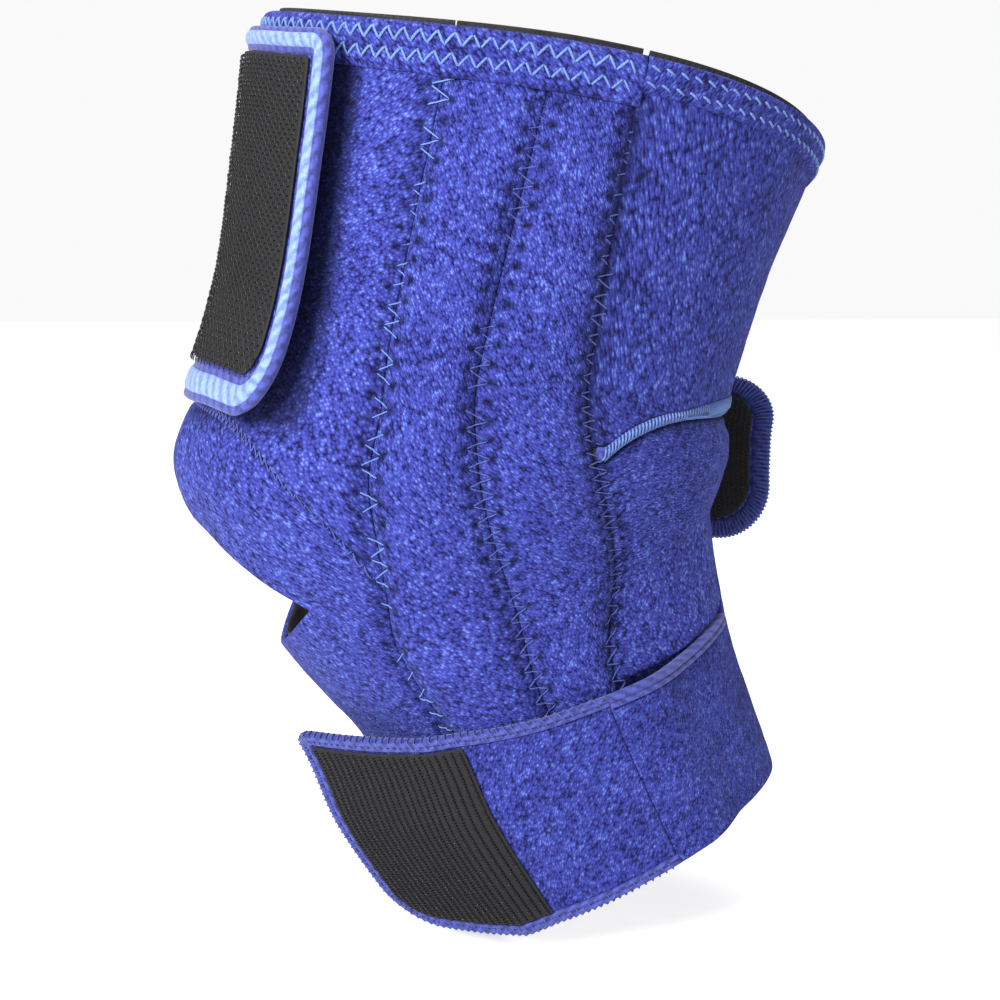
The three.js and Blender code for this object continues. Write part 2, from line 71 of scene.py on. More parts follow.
CALF_TILT = math.radians(27)
THIGH_TILT = math.radians(14.5)
BEND = CALF_TILT + THIGH_TILT
KNEE_RADIUS = 110.0
KNEE_X = -3.0
KNEE_Z = 3.0
CALF_LENGTH = 112.0

LIMB = [
    [-8, 43, 50, 38],
    [30, 49, 55.5, 42],
    [58, 45.5, 63, 45],
    [85, 55, 72, 51],
    [108, 69, 76, 57],
    [121, 74.5, 76.5, 60],
    [135, 66, 76, 61],
    [150, 62.5, 73.5, 63],
    [190, 66, 75, 67],
    [228, 71, 80, 72],
]
SEAM_A = [[-8, -32], [60, -31], [83, -28], [95, -23], [108, -20], [130, -19], [153, -21.5], [228, -22]]
SEAM_B = [[-8, 3], [54, 1.5], [83, 4.5], [123, 1.5], [150, -1], [228, -2]]
SEAM_C = [[-8, 20], [54, 20.5], [76, 27.5], [103, 27], [129, 23.5], [152, 20.5], [192, 16.5], [228, 13]]

LINING = 1.2
LAYER_GAP = 0.5
FRONT_GAP = 1.1
PANEL = 1.6
FOAM_PANEL = 2.3
CHANNEL_PUFF = 3.4
HEM_THICK = 2.6
STRAP = 2.6
SKIN_LIFT = 1.3
FRONT_LIFT = 5.6
CHANNEL_LIFT = 7.1
HOOK_TAPE = 0.6
HOOK_GAP = 0.45
HOOK_TOP = STRAP + HOOK_GAP + HOOK_TAPE
HOOK_HEIGHT = 1.0
BODY_BOTTOM = -6.0
HEM_WIDTH = 12.0
LINING_RISE = 1.6
RIM_LEVEL = 227.8
RIM_WAVE = 4.2
RIM_HIGH_SIDE = 38.0
STRAP_TOP_DROP = 5.2
TAB_SHADOW_BEARING = 318.0
ARCH_TOP = 131.0
ARCH_DROP = 36.0
KNEE_PANEL_EDGE = 84.0
KNEE_PANEL_BOTTOM = 44.0
UPPER_HINGE = 205.0
UPPER_TAB_HINGE = 268.0
UPPER_TAB_LEAVE = 298.0
UPPER_TAB_RISE = 1.8
LOWER_HINGE = 50.0
LOWER_TAB_HINGE = -23.0
LOWER_TAB_LEAVE = -36.0
LOWER_TAB_RISE = 2.2
KNEE_STRAP_ROOT = 151.6
SLIT_BAND = 5.0
HINGE_GAP = 0.6
EDGE_GAP = 0.4
SLIT_GAP = 1.5


def along(rows, level, column=1):
    """Smooth curve through the rows, as a function of level."""
    rows = np.asarray(rows, float)
    x, y = rows[:, 0], rows[:, column]
    slope = np.empty_like(y)
    slope[1:-1] = (y[2:] - y[:-2]) / (x[2:] - x[:-2])
    slope[0] = (y[1] - y[0]) / (x[1] - x[0])
    slope[-1] = (y[-1] - y[-2]) / (x[-1] - x[-2])
    level = np.asarray(level, float)
    i = np.clip(np.searchsorted(x, level, side="left") - 1, 0, len(x) - 2)
    span = x[i + 1] - x[i]
    t = np.clip((level - x[i]) / span, 0, 1)
    rise = slope[i] * span * t * (1 - t) ** 2 - slope[i + 1] * span * t * t * (1 - t)
    value = y[i] + (y[i + 1] - y[i]) * t * t * (3 - 2 * t) + rise
    below = np.minimum(level - x[0], 0) * slope[0]
    above = np.maximum(level - x[-1], 0) * slope[-1]
    return value + below + above


TANGENT = KNEE_RADIUS * math.tan(BEND / 2)
KNEE_START = CALF_LENGTH - TANGENT
ARC_X = KNEE_X + TANGENT * math.sin(CALF_TILT) + KNEE_RADIUS * math.cos(CALF_TILT)
ARC_Z = KNEE_Z - TANGENT * math.cos(CALF_TILT) + KNEE_RADIUS * math.sin(CALF_TILT)


def skin(bearing, level, off):
    """Points (..., 3) in millimetres."""
    bearing, level, off = np.broadcast_arrays(bearing, level, off)
    turned = np.clip((level - KNEE_START) / KNEE_RADIUS, 0, BEND)
    lean = turned - CALF_TILT
    straight = level - KNEE_START - turned * KNEE_RADIUS
    x = ARC_X - KNEE_RADIUS * np.cos(lean) + straight * np.sin(lean)
    z = ARC_Z + KNEE_RADIUS * np.sin(lean) + straight * np.cos(lean)
    turn = np.radians(bearing)
    backwards = np.sin(turn)
    depth = np.where(backwards < 0, along(LIMB, level, 1), along(LIMB, level, 2)) + off
    side = along(LIMB, level, 3) + off
    return np.stack([
        x + np.cos(lean) * depth * backwards,
        -side * np.cos(turn),
        z - np.sin(lean) * depth * backwards,
    ], -1)


def lerp(a, b, t):
    return a + (b - a) * t


def smoothstep(x, low, high):
    t = np.clip((np.asarray(x, float) - low) / (high - low), 0, 1)
    return t * t * (3 - 2 * t)


def lateral_of(bearing):
    """The bearing folded to the lateral half: -90 front, 0 side, 90 back."""
    return 90 - np.abs((np.asarray(bearing, float) + 450) % 360 - 180)


def rim(bearing):
    return RIM_LEVEL + RIM_WAVE * np.cos(np.radians(2 * (lateral_of(bearing) - RIM_HIGH_SIDE)))


def arch(u):
    return ARCH_TOP - ARCH_DROP * np.abs(1 - 2 * u) ** 4


def upper_strap_bottom(b):
    b = np.asarray(b, float)
    slit = 125 + 28 * (1 - np.exp(-np.maximum(b - 26, 0) / 17)) + 10 * smoothstep(b, 92, 122)
    return lerp(slit, 131.5, smoothstep(b, 165, 235))


def upper_strap_top(b):
    return rim(b) - STRAP_TOP_DROP * smoothstep(b, 120, 235)


def upper_lift(b):
    climb = lerp(SKIN_LIFT, CHANNEL_LIFT, smoothstep(b, 105, 152))
    return lerp(climb, FRONT_LIFT, smoothstep(b, 212, 232))


def upper_tab_lift(b):
    """The tab's end stands a little further off the wrap than the strap."""
    return upper_lift(b) + UPPER_TAB_RISE * smoothstep(b, UPPER_TAB_HINGE, UPPER_TAB_LEAVE)


def lower_strap_top(b):
    b = np.asarray(b, float)
    forward = 23 * (np.maximum(45 - b, 0) / 102.5) ** 1.3
    corners = smoothstep(b, 70, 88) * smoothstep(180 - b, 70, 88)
    return KNEE_PANEL_BOTTOM + forward + 24 * corners


def lower_strap_bottom(b):
    return lerp(-9, -5, smoothstep(np.abs(np.asarray(b, float) - 90), 0, 90))


def lower_lift(b):
    return lerp(SKIN_LIFT, CHANNEL_LIFT, smoothstep(50 - np.asarray(b, float), 4, 27))


def lower_tab_lift(b):
    """The lower tab's end stands off the wrap in the same way as the upper one's."""
    past_hinge = smoothstep(-np.asarray(b, float), -LOWER_TAB_HINGE, -LOWER_TAB_LEAVE)
    return lower_lift(b) + LOWER_TAB_RISE * past_hinge


# ---- noise ----

def hashed(ix, iy, iz, seed):
    n = (ix * 73856093) ^ (iy * 19349663) ^ (iz * 83492791) ^ (seed * 2654435761)
    n = (n ^ (n >> 13)) * 1274126177
    n = n ^ (n >> 16)
    return (n & 0xFFFF) / 32767.5 - 1.0


def noise(points, cell, seed):
    """Smooth value noise from -1 to 1 at points (..., 3) in millimetres."""
    q = np.asarray(points, float) / cell
    low = np.floor(q).astype(np.int64)
    f = q - low
    f = f * f * (3 - 2 * f)
    total = 0
    for dx in (0, 1):
        for dy in (0, 1):
            for dz in (0, 1):
                weight = (
                    (f[..., 0] if dx else 1 - f[..., 0])
                    * (f[..., 1] if dy else 1 - f[..., 1])
                    * (f[..., 2] if dz else 1 - f[..., 2])
                )
                total = total + weight * hashed(low[..., 0] + dx, low[..., 1] + dy, low[..., 2] + dz, seed)
    return total


# ---- the body's outer height ----

STITCH_PITCH = 4.9
STITCH_HALF = 2.5
STITCH_START = 8.0
DEGREES_PER_MM = 0.93


def zigzag_dips(bearing, level, rows, radius):
    """How strongly a zigzag's needle holes pull the cloth in, from 0 to 1."""
    total = np.zeros(np.broadcast(bearing, level).shape)
    nearest = np.round((level - STITCH_START) / (STITCH_PITCH / 2))
    for step in (-1, 0, 1):
        k = nearest + step
        hole_level = STITCH_START + k * STITCH_PITCH / 2
        side = np.where(k % 2 == 0, 1.0, -1.0)
        hole_bearing = along(rows, hole_level) + side * STITCH_HALF * DEGREES_PER_MM
        distance = (level - hole_level) ** 2 + ((bearing - hole_bearing) / DEGREES_PER_MM) ** 2
        total = np.maximum(total, np.exp(-distance / (2 * radius * radius)))
    return total


def near_seam(bearing, level, rows, width):
    distance = np.abs(bearing - along(rows, level)) / DEGREES_PER_MM
    return np.clip(1 - distance / width, 0, 1) ** 2


def arch_level(bearing):
    """Level of the curved seam over the kneecap at a folded bearing."""
    u = (along(SEAM_A, 115) - bearing) / (2 * (along(SEAM_A, 115) + 90))
    return arch(np.clip(u, 0, 1))


def body_outer(bearing, level):
    """Outer height of the sewn body, with its channels, seams and needle holes."""
    m = lateral_of(bearing)
    a, b, c = along(SEAM_A, level), along(SEAM_B, level), along(SEAM_C, level)
    flat = LINING + LAYER_GAP + PANEL
    front_height = LINING + FRONT_GAP + FOAM_PANEL
    u1 = (m - a) / (b - a)
    u2 = (m - b) / (c - b)
    v = (level - BODY_BOTTOM) / (rim(bearing) - HEM_WIDTH - BODY_BOTTOM)
    ends = 1 - np.clip(np.abs(2 * v - 1), 0, 1) ** 10

    def puff(u):
        return CHANNEL_PUFF * (1 - np.clip(np.abs(2 * u - 1), 0, 1) ** 3.2) * ends

    lateral = np.where(m < b, puff(u1), puff(u2))
    front = lerp(flat, front_height, smoothstep((a - m) / DEGREES_PER_MM, 0, 5))
    rear = SKIN_LIFT + STRAP
    height = np.where(m < a, front, np.where(m > c, rear, flat + lateral))
    for rows in (SEAM_A, SEAM_B, SEAM_C):
        height = height - 0.5 * near_seam(m, level, rows, 3.4)
        height = height - 0.9 * zigzag_dips(m, level, rows, 0.75)
    over_arch = (level - arch_level(m)) * 1.5
    in_front = smoothstep(a - m, 0, 4)
    height = height - 0.9 * in_front * np.exp(-((over_arch + 0.4) / 1.3) ** 2)
    return height


def drape(points, amount=1.0):
    """Soft unevenness of worn cloth, in millimetres."""
    broad = 0.55 * noise(points, 34, 3)
    folds = 0.35 * noise(points * np.array([1.0, 1.0, 0.55]), 11, 7)
    pile = 0.10 * noise(points, 2.6, 11)
    return amount * (broad + folds + pile)


# ---- meshes ----

def build_mesh(name, points, faces, smooth=True):
    """points (n, 3) in millimetres; faces is a list of arrays, each (k, corners)."""
    mesh = bpy.data.meshes.new(name)
    mesh.vertices.add(len(points))
    mesh.vertices.foreach_set("co", (np.asarray(points) * MM).astype(np.float32).ravel())
    loops = np.concatenate([f.ravel() for f in faces])
    sizes = np.concatenate([np.full(len(f), f.shape[1]) for f in faces])
    mesh.loops.add(len(loops))
    mesh.loops.foreach_set("vertex_index", loops.astype(np.int32))
    mesh.polygons.add(len(sizes))
    starts = np.concatenate([[0], np.cumsum(sizes)[:-1]])
    mesh.polygons.foreach_set("loop_start", starts.astype(np.int32))
    mesh.polygons.foreach_set("use_smooth", np.full(len(sizes), smooth))
    mesh.update(calc_edges=True)
    mesh.validate()
    obj = bpy.data.objects.new(name, mesh)
    bpy.context.scene.collection.objects.link(obj)
    return obj


def grid_faces(n, m):
    """Faces of a closed slab made of two n by m grids, outer first."""
    i, j = np.meshgrid(np.arange(n - 1), np.arange(m - 1), indexing="ij")
    i, j = i.ravel(), j.ravel()
    outer = np.stack([i * m + j, (i + 1) * m + j, (i + 1) * m + j + 1, i * m + j + 1], 1)
    k = n * m
    inner = outer[:, ::-1] + k
    rows = np.arange(m - 1)
    cols = np.arange(n - 1)
    last = (n - 1) * m
    left = np.stack([rows, rows + 1, rows + 1 + k, rows + k], 1)
    right = np.stack([last + rows + k, last + rows + 1 + k, last + rows + 1, last + rows], 1)
    low = np.stack([(cols + 1) * m, cols * m, cols * m + k, (cols + 1) * m + k], 1)
    end, after = cols * m + m - 1, (cols + 1) * m + m - 1
    top = np.stack([end, after, after + k, end + k], 1)
    return np.concatenate([outer, inner, left, right, low, top])


def signed_volume(points, quads):
    a, b, c, d = (points[quads[:, k]] for k in range(4))
    return np.sum(np.cross(b, c) * a) + np.sum(np.cross(c, d) * a)


def set_uv(obj, uv):
    """Flat-pattern UV in metres, from one row per vertex in millimetres."""
    layer = obj.data.uv_layers.new(name="UVMap")
    corner = np.empty(len(obj.data.loops), np.int32)
    obj.data.loops.foreach_get("vertex_index", corner)
    layer.data.foreach_set("uv", (uv * MM)[corner].astype(np.float32).ravel())


def set_shade(obj, outer_value):
    """How much painted shade the outer face takes at each vertex; the inner face, which follows it, isn't
    darkened.
    """
    attribute = obj.data.attributes.new("shade", "FLOAT", "POINT")
    attribute.data.foreach_set("value", np.concatenate([outer_value, outer_value * 0]).astype(np.float32))


def closed_sheet(name, outer, inner, flat_uv, shade=None):
    """A closed cloth sheet from two grids of points (n, m, 3), with a flat-pattern UV in metres."""
    n, m = outer.shape[:2]
    points = np.concatenate([outer.reshape(-1, 3), inner.reshape(-1, 3)])
    quads = grid_faces(n, m)
    if signed_volume(points, quads) < 0:
        quads = quads[:, ::-1]
    obj = build_mesh(name, points, [quads])
    set_uv(obj, np.concatenate([flat_uv.reshape(-1, 2)] * 2))
    set_shade(obj, np.zeros(n * m) if shade is None else shade.ravel())
    return obj


def edge_steps(length, pitch, radius):
    """Distances from one edge to the other, closer together where the edges round over."""
    count = max(int(round((length - 2 * radius) / pitch)), 2)
    near = radius * np.array([0, 0.1, 0.35, 0.7])
    middle = np.linspace(radius, length - radius, count + 1)
    return np.concatenate([near, middle, length - near[::-1]])


def edge_round(distance, radius):
    """Half-thickness factor at a distance from a rounded edge."""
    t = np.clip(1 - distance / radius, 0, 1)
    return 0.18 + 0.82 * np.sqrt(1 - t * t)


def sheet_area(outer):
    a = outer[1:, :-1] - outer[:-1, :-1]
    b = outer[:-1, 1:] - outer[:-1, :-1]
    return np.linalg.norm(np.cross(a, b), axis=-1).sum()


flat_sizes = {}


def note_flat(obj, outer):
    """Keeps the flat size of a sheet: mean width, mean length and area, in metres."""
    width = np.linalg.norm(np.diff(outer, axis=0), axis=-1).sum(0).max()
    length = np.linalg.norm(np.diff(outer, axis=1), axis=-1).sum(1).max()
    area = min(sheet_area(outer), width * length * 0.999)
    flat_sizes[obj.name] = (width * MM, length * MM, area * MM * MM)


def body_sheet(name, left, right, bottom, top, inner, outer, pitch=1.0, round_edge=0.8, drape_amount=1.0,
               shade=None):
    """A body piece between two seam curves, given by functions of level and of u."""
    middle = 0.5 * (bottom(np.array(0.5)) + top(np.array(0.5)))
    ends = skin(np.array([left(middle), right(middle)]), middle, 4.0)
    sweep = np.abs(right(middle) - left(middle))
    width = max(np.linalg.norm(ends[0] - ends[1]), sweep / DEGREES_PER_MM)
    height = float(np.mean(top(np.array([0, 0.5, 1])) - bottom(np.array([0, 0.5, 1]))))
    du = edge_steps(width, pitch, round_edge)
    dv = edge_steps(height, pitch, round_edge)
    U, V = np.meshgrid(du / width, dv / height, indexing="ij")
    L = lerp(bottom(U), top(U), V)
    B = lerp(left(L), right(L), U)
    factor = np.minimum(
        edge_round(np.minimum(U, 1 - U) * width, round_edge),
        edge_round(np.minimum(V, 1 - V) * height, round_edge),
    )
    low, high = inner(B, L), outer(B, L)
    surface = skin(B, L, high)
    high = high + drape(surface, drape_amount)
    mid, half = (low + high) / 2, (high - low) / 2
    outside = skin(B, L, mid + half * factor)
    inside = skin(B, L, mid - half * factor)
    uv = np.stack([U * width, V * height], -1)
    value = shade(B, L) if shade else None
    obj = closed_sheet(name, outside, inside, uv, value)
    note_flat(obj, outside)
    return obj


def tube(points, radius, sides=6):
    """Points and faces of a closed tube along a polyline (n, 3), in millimetres."""
    points = np.asarray(points, float)
    tangent = np.gradient(points, axis=0)
    tangent /= np.linalg.norm(tangent, axis=1, keepdims=True) + 1e-9
    reference = np.where(np.abs(tangent[:, 2:3]) > 0.9, np.array([[1.0, 0, 0]]), np.array([[0, 0, 1.0]]))
    across = np.cross(tangent, reference)
    across /= np.linalg.norm(across, axis=1, keepdims=True) + 1e-9
    upward = np.cross(across, tangent)
    turn = np.linspace(0, 2 * np.pi, sides, endpoint=False)
    r = np.broadcast_to(np.asarray(radius, float), (len(points),))[:, None, None]
    ring = (
        points[:, None]
        + r * (np.cos(turn)[None, :, None] * across[:, None] + np.sin(turn)[None, :, None] * upward[:, None])
    )
    n = len(points)
    i, j = np.meshgrid(np.arange(n - 1), np.arange(sides), indexing="ij")
    i, j = i.ravel(), j.ravel()
    k = (j + 1) % sides
    quads = np.stack([i * sides + j, i * sides + k, (i + 1) * sides + k, (i + 1) * sides + j], 1)
    caps = np.stack([np.arange(sides), (n - 1) * sides + np.arange(sides)[::-1]])
    return ring.reshape(-1, 3), quads, caps[:, ::-1]


def tubes_object(name, lines, radius, sides=6):
    """One object of many thread tubes."""
    points, quads, caps = [], [], []
    base = 0
    for line in lines:
        p, q, c = tube(line, radius, sides)
        points.append(p)
        quads.append(q + base)
        caps.append(c + base)
        base += len(p)
    return build_mesh(name, np.concatenate(points), [np.concatenate(quads), np.concatenate(caps)])


# ---- zigzag stitching ----

def stitch_line(start, end, height, sag=0.7, lift=0.32, steps=7):
    """One thread between two needle holes given as (bearing, level)."""
    t = np.linspace(0, 1, steps)
    bearing = lerp(start[0], end[0], t)
    level = lerp(start[1], end[1], t)
    off = height(bearing, level) + lift - sag * np.abs(2 * t - 1) ** 6
    return skin(bearing, level, off)


def zigzag(name, rows, low, high, medial=False, radius=0.3, broken=0.0, seed=1):
    """Zigzag stitches along a seam curve."""
    rng = np.random.default_rng(seed)
    first = math.ceil((low - STITCH_START) / (STITCH_PITCH / 2))
    last = math.floor((high - STITCH_START) / (STITCH_PITCH / 2))
    lines = []
    for k in range(first, last):
        holes = []
        for step in (k, k + 1):
            level = STITCH_START + step * STITCH_PITCH / 2
            side = 1.0 if step % 2 == 0 else -1.0
            bearing = float(along(rows, level)) + side * STITCH_HALF * DEGREES_PER_MM
            holes.append((180 - bearing if medial else bearing, level))
        if rng.random() >= broken:
            lines.append(stitch_line(holes[0], holes[1], body_outer))
    return tubes_object(name, lines, radius)


# ---- tabs: straps that leave the limb and stand off it ----

class Tab:
    """The same tab as in the CAD model: s runs along it, v is the height from its lower edge."""

    def __init__(self, start, leave, way, length, height, bottom, top, lift, degrees_per_mm, curve, climb,
                 corners, slant=0.0):
        self.start, self.leave, self.way = start, leave, way
        self.length, self.height, self.corners = length, height, corners
        self.bottom, self.top, self.lift = bottom, top, lift
        self.degrees_per_mm, self.curve, self.slant = degrees_per_mm, curve, slant
        self.surface_run = abs(leave - start) / degrees_per_mm
        middle = (bottom(leave) + top(leave)) / 2
        side = skin(leave + way, middle, 0.0) - skin(leave - way, middle, 0.0)
        side /= np.linalg.norm(side)
        upwards = skin(leave, middle + 5, 0.0) - skin(leave, middle - 5, 0.0)
        upwards /= np.linalg.norm(upwards)
        side = side * math.cos(climb) + upwards * math.sin(climb)
        side /= np.linalg.norm(side)
        outwards = np.cross(side, upwards)
        outwards /= np.linalg.norm(outwards)
        if outwards @ (skin(leave, middle, 10.0) - skin(leave, middle, 0.0)) < 0:
            outwards = -outwards
        self.side, self.outwards = side, outwards

    def place(self, s, v, off):
        s, v, off = np.broadcast_arrays(np.asarray(s, float), np.asarray(v, float), np.asarray(off, float))
        on_limb = s < self.surface_run
        bearing = np.where(on_limb, self.start + self.way * s * self.degrees_per_mm, self.leave)
        level = lerp(self.bottom(bearing), self.top(bearing), v / self.height)
        lift = self.lift(bearing)
        point = skin(bearing, level, lift)
        normal = skin(bearing, level, lift + 1) - point
        normal /= np.linalg.norm(normal, axis=-1, keepdims=True)
        run = np.maximum(s - self.surface_run, 0)
        turned = run * self.curve
        ahead = run if self.curve == 0 else np.sin(turned) / self.curve
        inwards = run * 0 if self.curve == 0 else (1 - np.cos(turned)) / self.curve
        blend = smoothstep(run, 0, 12)[..., None]
        facing = self.outwards * np.cos(turned)[..., None] + self.side * np.sin(turned)[..., None]
        normal = normal * (1 - blend) + facing * blend
        normal /= np.linalg.norm(normal, axis=-1, keepdims=True)
        ahead = ahead * (1 + self.slant * (v / self.height - 0.5))
        point = point + self.side * np.asarray(ahead)[..., None]
        point = point - self.outwards * np.asarray(inwards)[..., None]
        return point + normal * off[..., None]


upper_tab = Tab(UPPER_TAB_HINGE + HINGE_GAP, UPPER_TAB_LEAVE, 1, 68, 88, upper_strap_bottom, upper_strap_top,
                upper_tab_lift, 0.74, 0.0045, 0.0, (13, 7))
lower_tab = Tab(LOWER_TAB_HINGE - HINGE_GAP, LOWER_TAB_LEAVE, -1, 52, 72, lower_strap_bottom,
                lambda b: lower_strap_top(b) - EDGE_GAP, lower_tab_lift, 1.02, 0.006, math.radians(17),
                (14, 5))
knee_strap = Tab(KNEE_STRAP_ROOT, KNEE_STRAP_ROOT - 2, -1, 69, 54, lambda b: np.zeros_like(b) + 73.0,
                 lambda b: np.zeros_like(b) + 148.0, lambda b: np.zeros_like(b) + SKIN_LIFT, 0.95, 0.0,
                 math.radians(-5), (18, 16), 0.11)


def tab_edges(tab, inset, s, length):
    """Lower and upper limit of the tab at s, with its tip's rounded corners."""
    limits = []
    for radius in tab.corners:
        r = max(radius - inset, 1.5)
        d = np.clip(length - s, 0, r)
        limits.append(inset + r - np.sqrt(np.maximum(r * r - (r - d) ** 2, 0)))
    return limits[0], tab.height - limits[1]


def tab_sheet(name, tab, start, inset, low, high, pitch=1.0, round_edge=0.8, drape_amount=0.5):
    length = tab.length - inset
    ds = edge_steps(length - start, pitch, round_edge) + start
    dv = edge_steps(tab.height, pitch, round_edge)
    S, V = np.meshgrid(ds, dv / tab.height, indexing="ij")
    bottom, top = tab_edges(tab, inset, S, length)
    H = lerp(bottom, top, V)
    from_tip = edge_round(length - S, round_edge)
    from_start = edge_round(S - start, round_edge)
    from_side = edge_round(np.minimum(H - bottom, top - H), round_edge)
    factor = np.minimum(np.minimum(from_tip, from_start), from_side)
    surface = tab.place(S, H, high)
    rise = drape(surface, drape_amount)
    mid, half = (low + high + rise) / 2, (high - low) / 2 + rise / 2
    outside = tab.place(S, H, mid + half * factor)
    inside = tab.place(S, H, mid - half * factor)
    obj = closed_sheet(name, outside, inside, np.stack([S, H], -1))
    note_flat(obj, outside)
    return obj


def tab_edge_path(tab, start, step=1.0):
    """The free edge as rows of s, v and the direction into the tab."""
    low, high = tab.corners
    rows = []

    def straight(a, b, into):
        count = max(int(math.hypot(b[0] - a[0], b[1] - a[1]) / step), 1)
        for i in range(count):
            t = i / count
            rows.append((lerp(a[0], b[0], t), lerp(a[1], b[1], t), into[0], into[1]))

    def corner(centre, radius, turn0, turn1):
        count = max(int(abs(turn1 - turn0) * radius / step), 4)
        for i in range(count):
            turn = lerp(turn0, turn1, i / count)
            rows.append((centre[0] + radius * math.cos(turn), centre[1] + radius * math.sin(turn),
                         -math.cos(turn), -math.sin(turn)))

    length, height = tab.length, tab.height
    straight((start, 0), (length - low, 0), (0, 1))
    corner((length - low, low), low, -math.pi / 2, 0)
    straight((length, low), (length, height - high), (-1, 0))
    corner((length - high, height - high), high, 0, math.pi / 2)
    straight((length - high, height), (start, height), (0, -1))
    rows.append((start, height, 0, -1))
    return np.array(rows)


def sweep(name, place, path, section):
    """Sweeps a closed section of (q, z) along an edge path; q runs into the cloth, z outwards."""
    section = np.asarray(section, float)
    s = path[:, 0:1] + path[:, 2:3] * section[None, :, 0]
    v = path[:, 1:2] + path[:, 3:4] * section[None, :, 0]
    z = np.broadcast_to(section[None, :, 1], s.shape)
    ring = place(s, v, z)
    n, k = ring.shape[:2]
    i, j = np.meshgrid(np.arange(n - 1), np.arange(k), indexing="ij")
    i, j = i.ravel(), j.ravel()
    nxt = (j + 1) % k
    quads = np.stack([i * k + j, i * k + nxt, (i + 1) * k + nxt, (i + 1) * k + j], 1)
    points = ring.reshape(-1, 3)
    caps = np.stack([np.arange(k)[::-1], (n - 1) * k + np.arange(k)])
    volume = signed_volume(points, quads)
    if volume < 0:
        quads = quads[:, ::-1]
        caps = caps[:, ::-1]
    obj = build_mesh(name, points, [quads, caps])
    run = np.concatenate([[0], np.cumsum(np.linalg.norm(np.diff(ring[:, 0], axis=0), axis=1))])
    girth = np.concatenate([[0], np.cumsum(np.linalg.norm(np.diff(section, axis=0), axis=1))])
    set_uv(obj, np.stack(np.meshgrid(run, girth, indexing="ij"), -1).reshape(-1, 2))
    obj.data.attributes.new("shade", "FLOAT", "POINT")
    return obj


def band_section(width, low, high, steps=9, ridges=(), crown=0.35):
    """Section of a bound edge: flat inside, rounded outside, with half-round ridges (q, half, rise)."""
    q = np.linspace(0, width, steps * 3)
    top = high + crown * np.sin(np.pi * q / width)
    for centre, half, rise in ridges:
        t = np.clip(1 - ((q - centre) / half) ** 2, 0, None)
        top = top + rise * np.sqrt(t)
    side = np.clip(q / 0.9, 0, 1)
    other = np.clip((width - q) / 0.5, 0, 1)
    fade = np.sqrt(1 - (1 - side) ** 2) * np.sqrt(1 - (1 - other) ** 2)
    middle = (low + high) / 2
    top = middle + (top - middle) * np.maximum(fade, 0.15)
    bottom = middle + (low - middle) * np.maximum(fade, 0.15)
    outer = np.stack([q, top], 1)
    under = np.stack([q[::-3], bottom[::-3]], 1)
    return np.concatenate([outer, under])


def overlock(name, place, path, width, high, pitch=1.25, slant=1.1, radius=0.24):
    """Slanting threads laid across an edge, each wrapping round it."""
    keep = np.concatenate([[0], np.cumsum(np.hypot(np.diff(path[:, 0]), np.diff(path[:, 1])))])
    marks = np.arange(pitch, keep[-1] - pitch, pitch)
    lines = []
    for mark in marks:
        q = np.array([0.15, -0.22, 0.1, 0.3 * width, 0.7 * width, width])
        z = np.array([0.2 * high, 0.55 * high, high + 0.15, high + 0.38, high + 0.36, high - 0.1])
        run = np.clip(mark + slant * np.linspace(0, 1, len(q)), 0, keep[-1])
        columns = [np.interp(run, keep, path[:, k]) for k in range(4)]
        lines.append(place(columns[0] + columns[2] * q, columns[1] + columns[3] * q, z))
    return tubes_object(name, lines, radius, 5)


# ---- hook tape ----

def hook_field(name, place, spots, lean, height=HOOK_HEIGHT, base=0.0, radius=0.17, seed=5):
    """A field of small bent hooks at (s, v) spots."""
    rng = np.random.default_rng(seed)
    t = np.linspace(0, 1, 6)
    sides = 5
    count = len(spots)
    tilt = rng.normal(0, 0.12, (count, 1))
    tall = height * (1 + rng.normal(0, 0.08, (count, 1)))
    s = spots[:, 0:1] + lean[0] * (t ** 2.2) * 0.62 + tilt * t
    v = spots[:, 1:2] + lean[1] * (t ** 2.2) * 0.62
    z = base + tall * np.sin(t * 2.1)
    centre = place(s, v, z)
    tangent = np.gradient(centre, axis=1)
    tangent /= np.linalg.norm(tangent, axis=-1, keepdims=True) + 1e-9
    reference = place(spots[:, 0:1] + 1, spots[:, 1:2], base) - place(spots[:, 0:1], spots[:, 1:2], base)
    across = np.cross(tangent, reference)
    across /= np.linalg.norm(across, axis=-1, keepdims=True) + 1e-9
    upward = np.cross(across, tangent)
    turn = np.linspace(0, 2 * np.pi, sides, endpoint=False)
    r = (radius * np.array([1.0, 0.9, 0.85, 0.9, 1.05, 0.7]))[None, :, None, None]
    cosine, sine = np.cos(turn)[None, None, :, None], np.sin(turn)[None, None, :, None]
    ring = centre[:, :, None] + r * (cosine * across[:, :, None] + sine * upward[:, :, None])
    points = ring.reshape(-1, 3)
    per = len(t) * sides
    i, j = np.meshgrid(np.arange(len(t) - 1), np.arange(sides), indexing="ij")
    i, j = i.ravel(), j.ravel()
    k = (j + 1) % sides
    one = np.stack([i * sides + j, i * sides + k, (i + 1) * sides + k, (i + 1) * sides + j], 1)
    quads = (one[None] + (np.arange(count) * per)[:, None, None]).reshape(-1, 4)
    cap = np.stack([np.arange(sides), (len(t) - 1) * sides + np.arange(sides)[::-1]])[:, ::-1]
    caps = (cap[None] + (np.arange(count) * per)[:, None, None]).reshape(-1, sides)
    return build_mesh(name, points, [quads, caps])


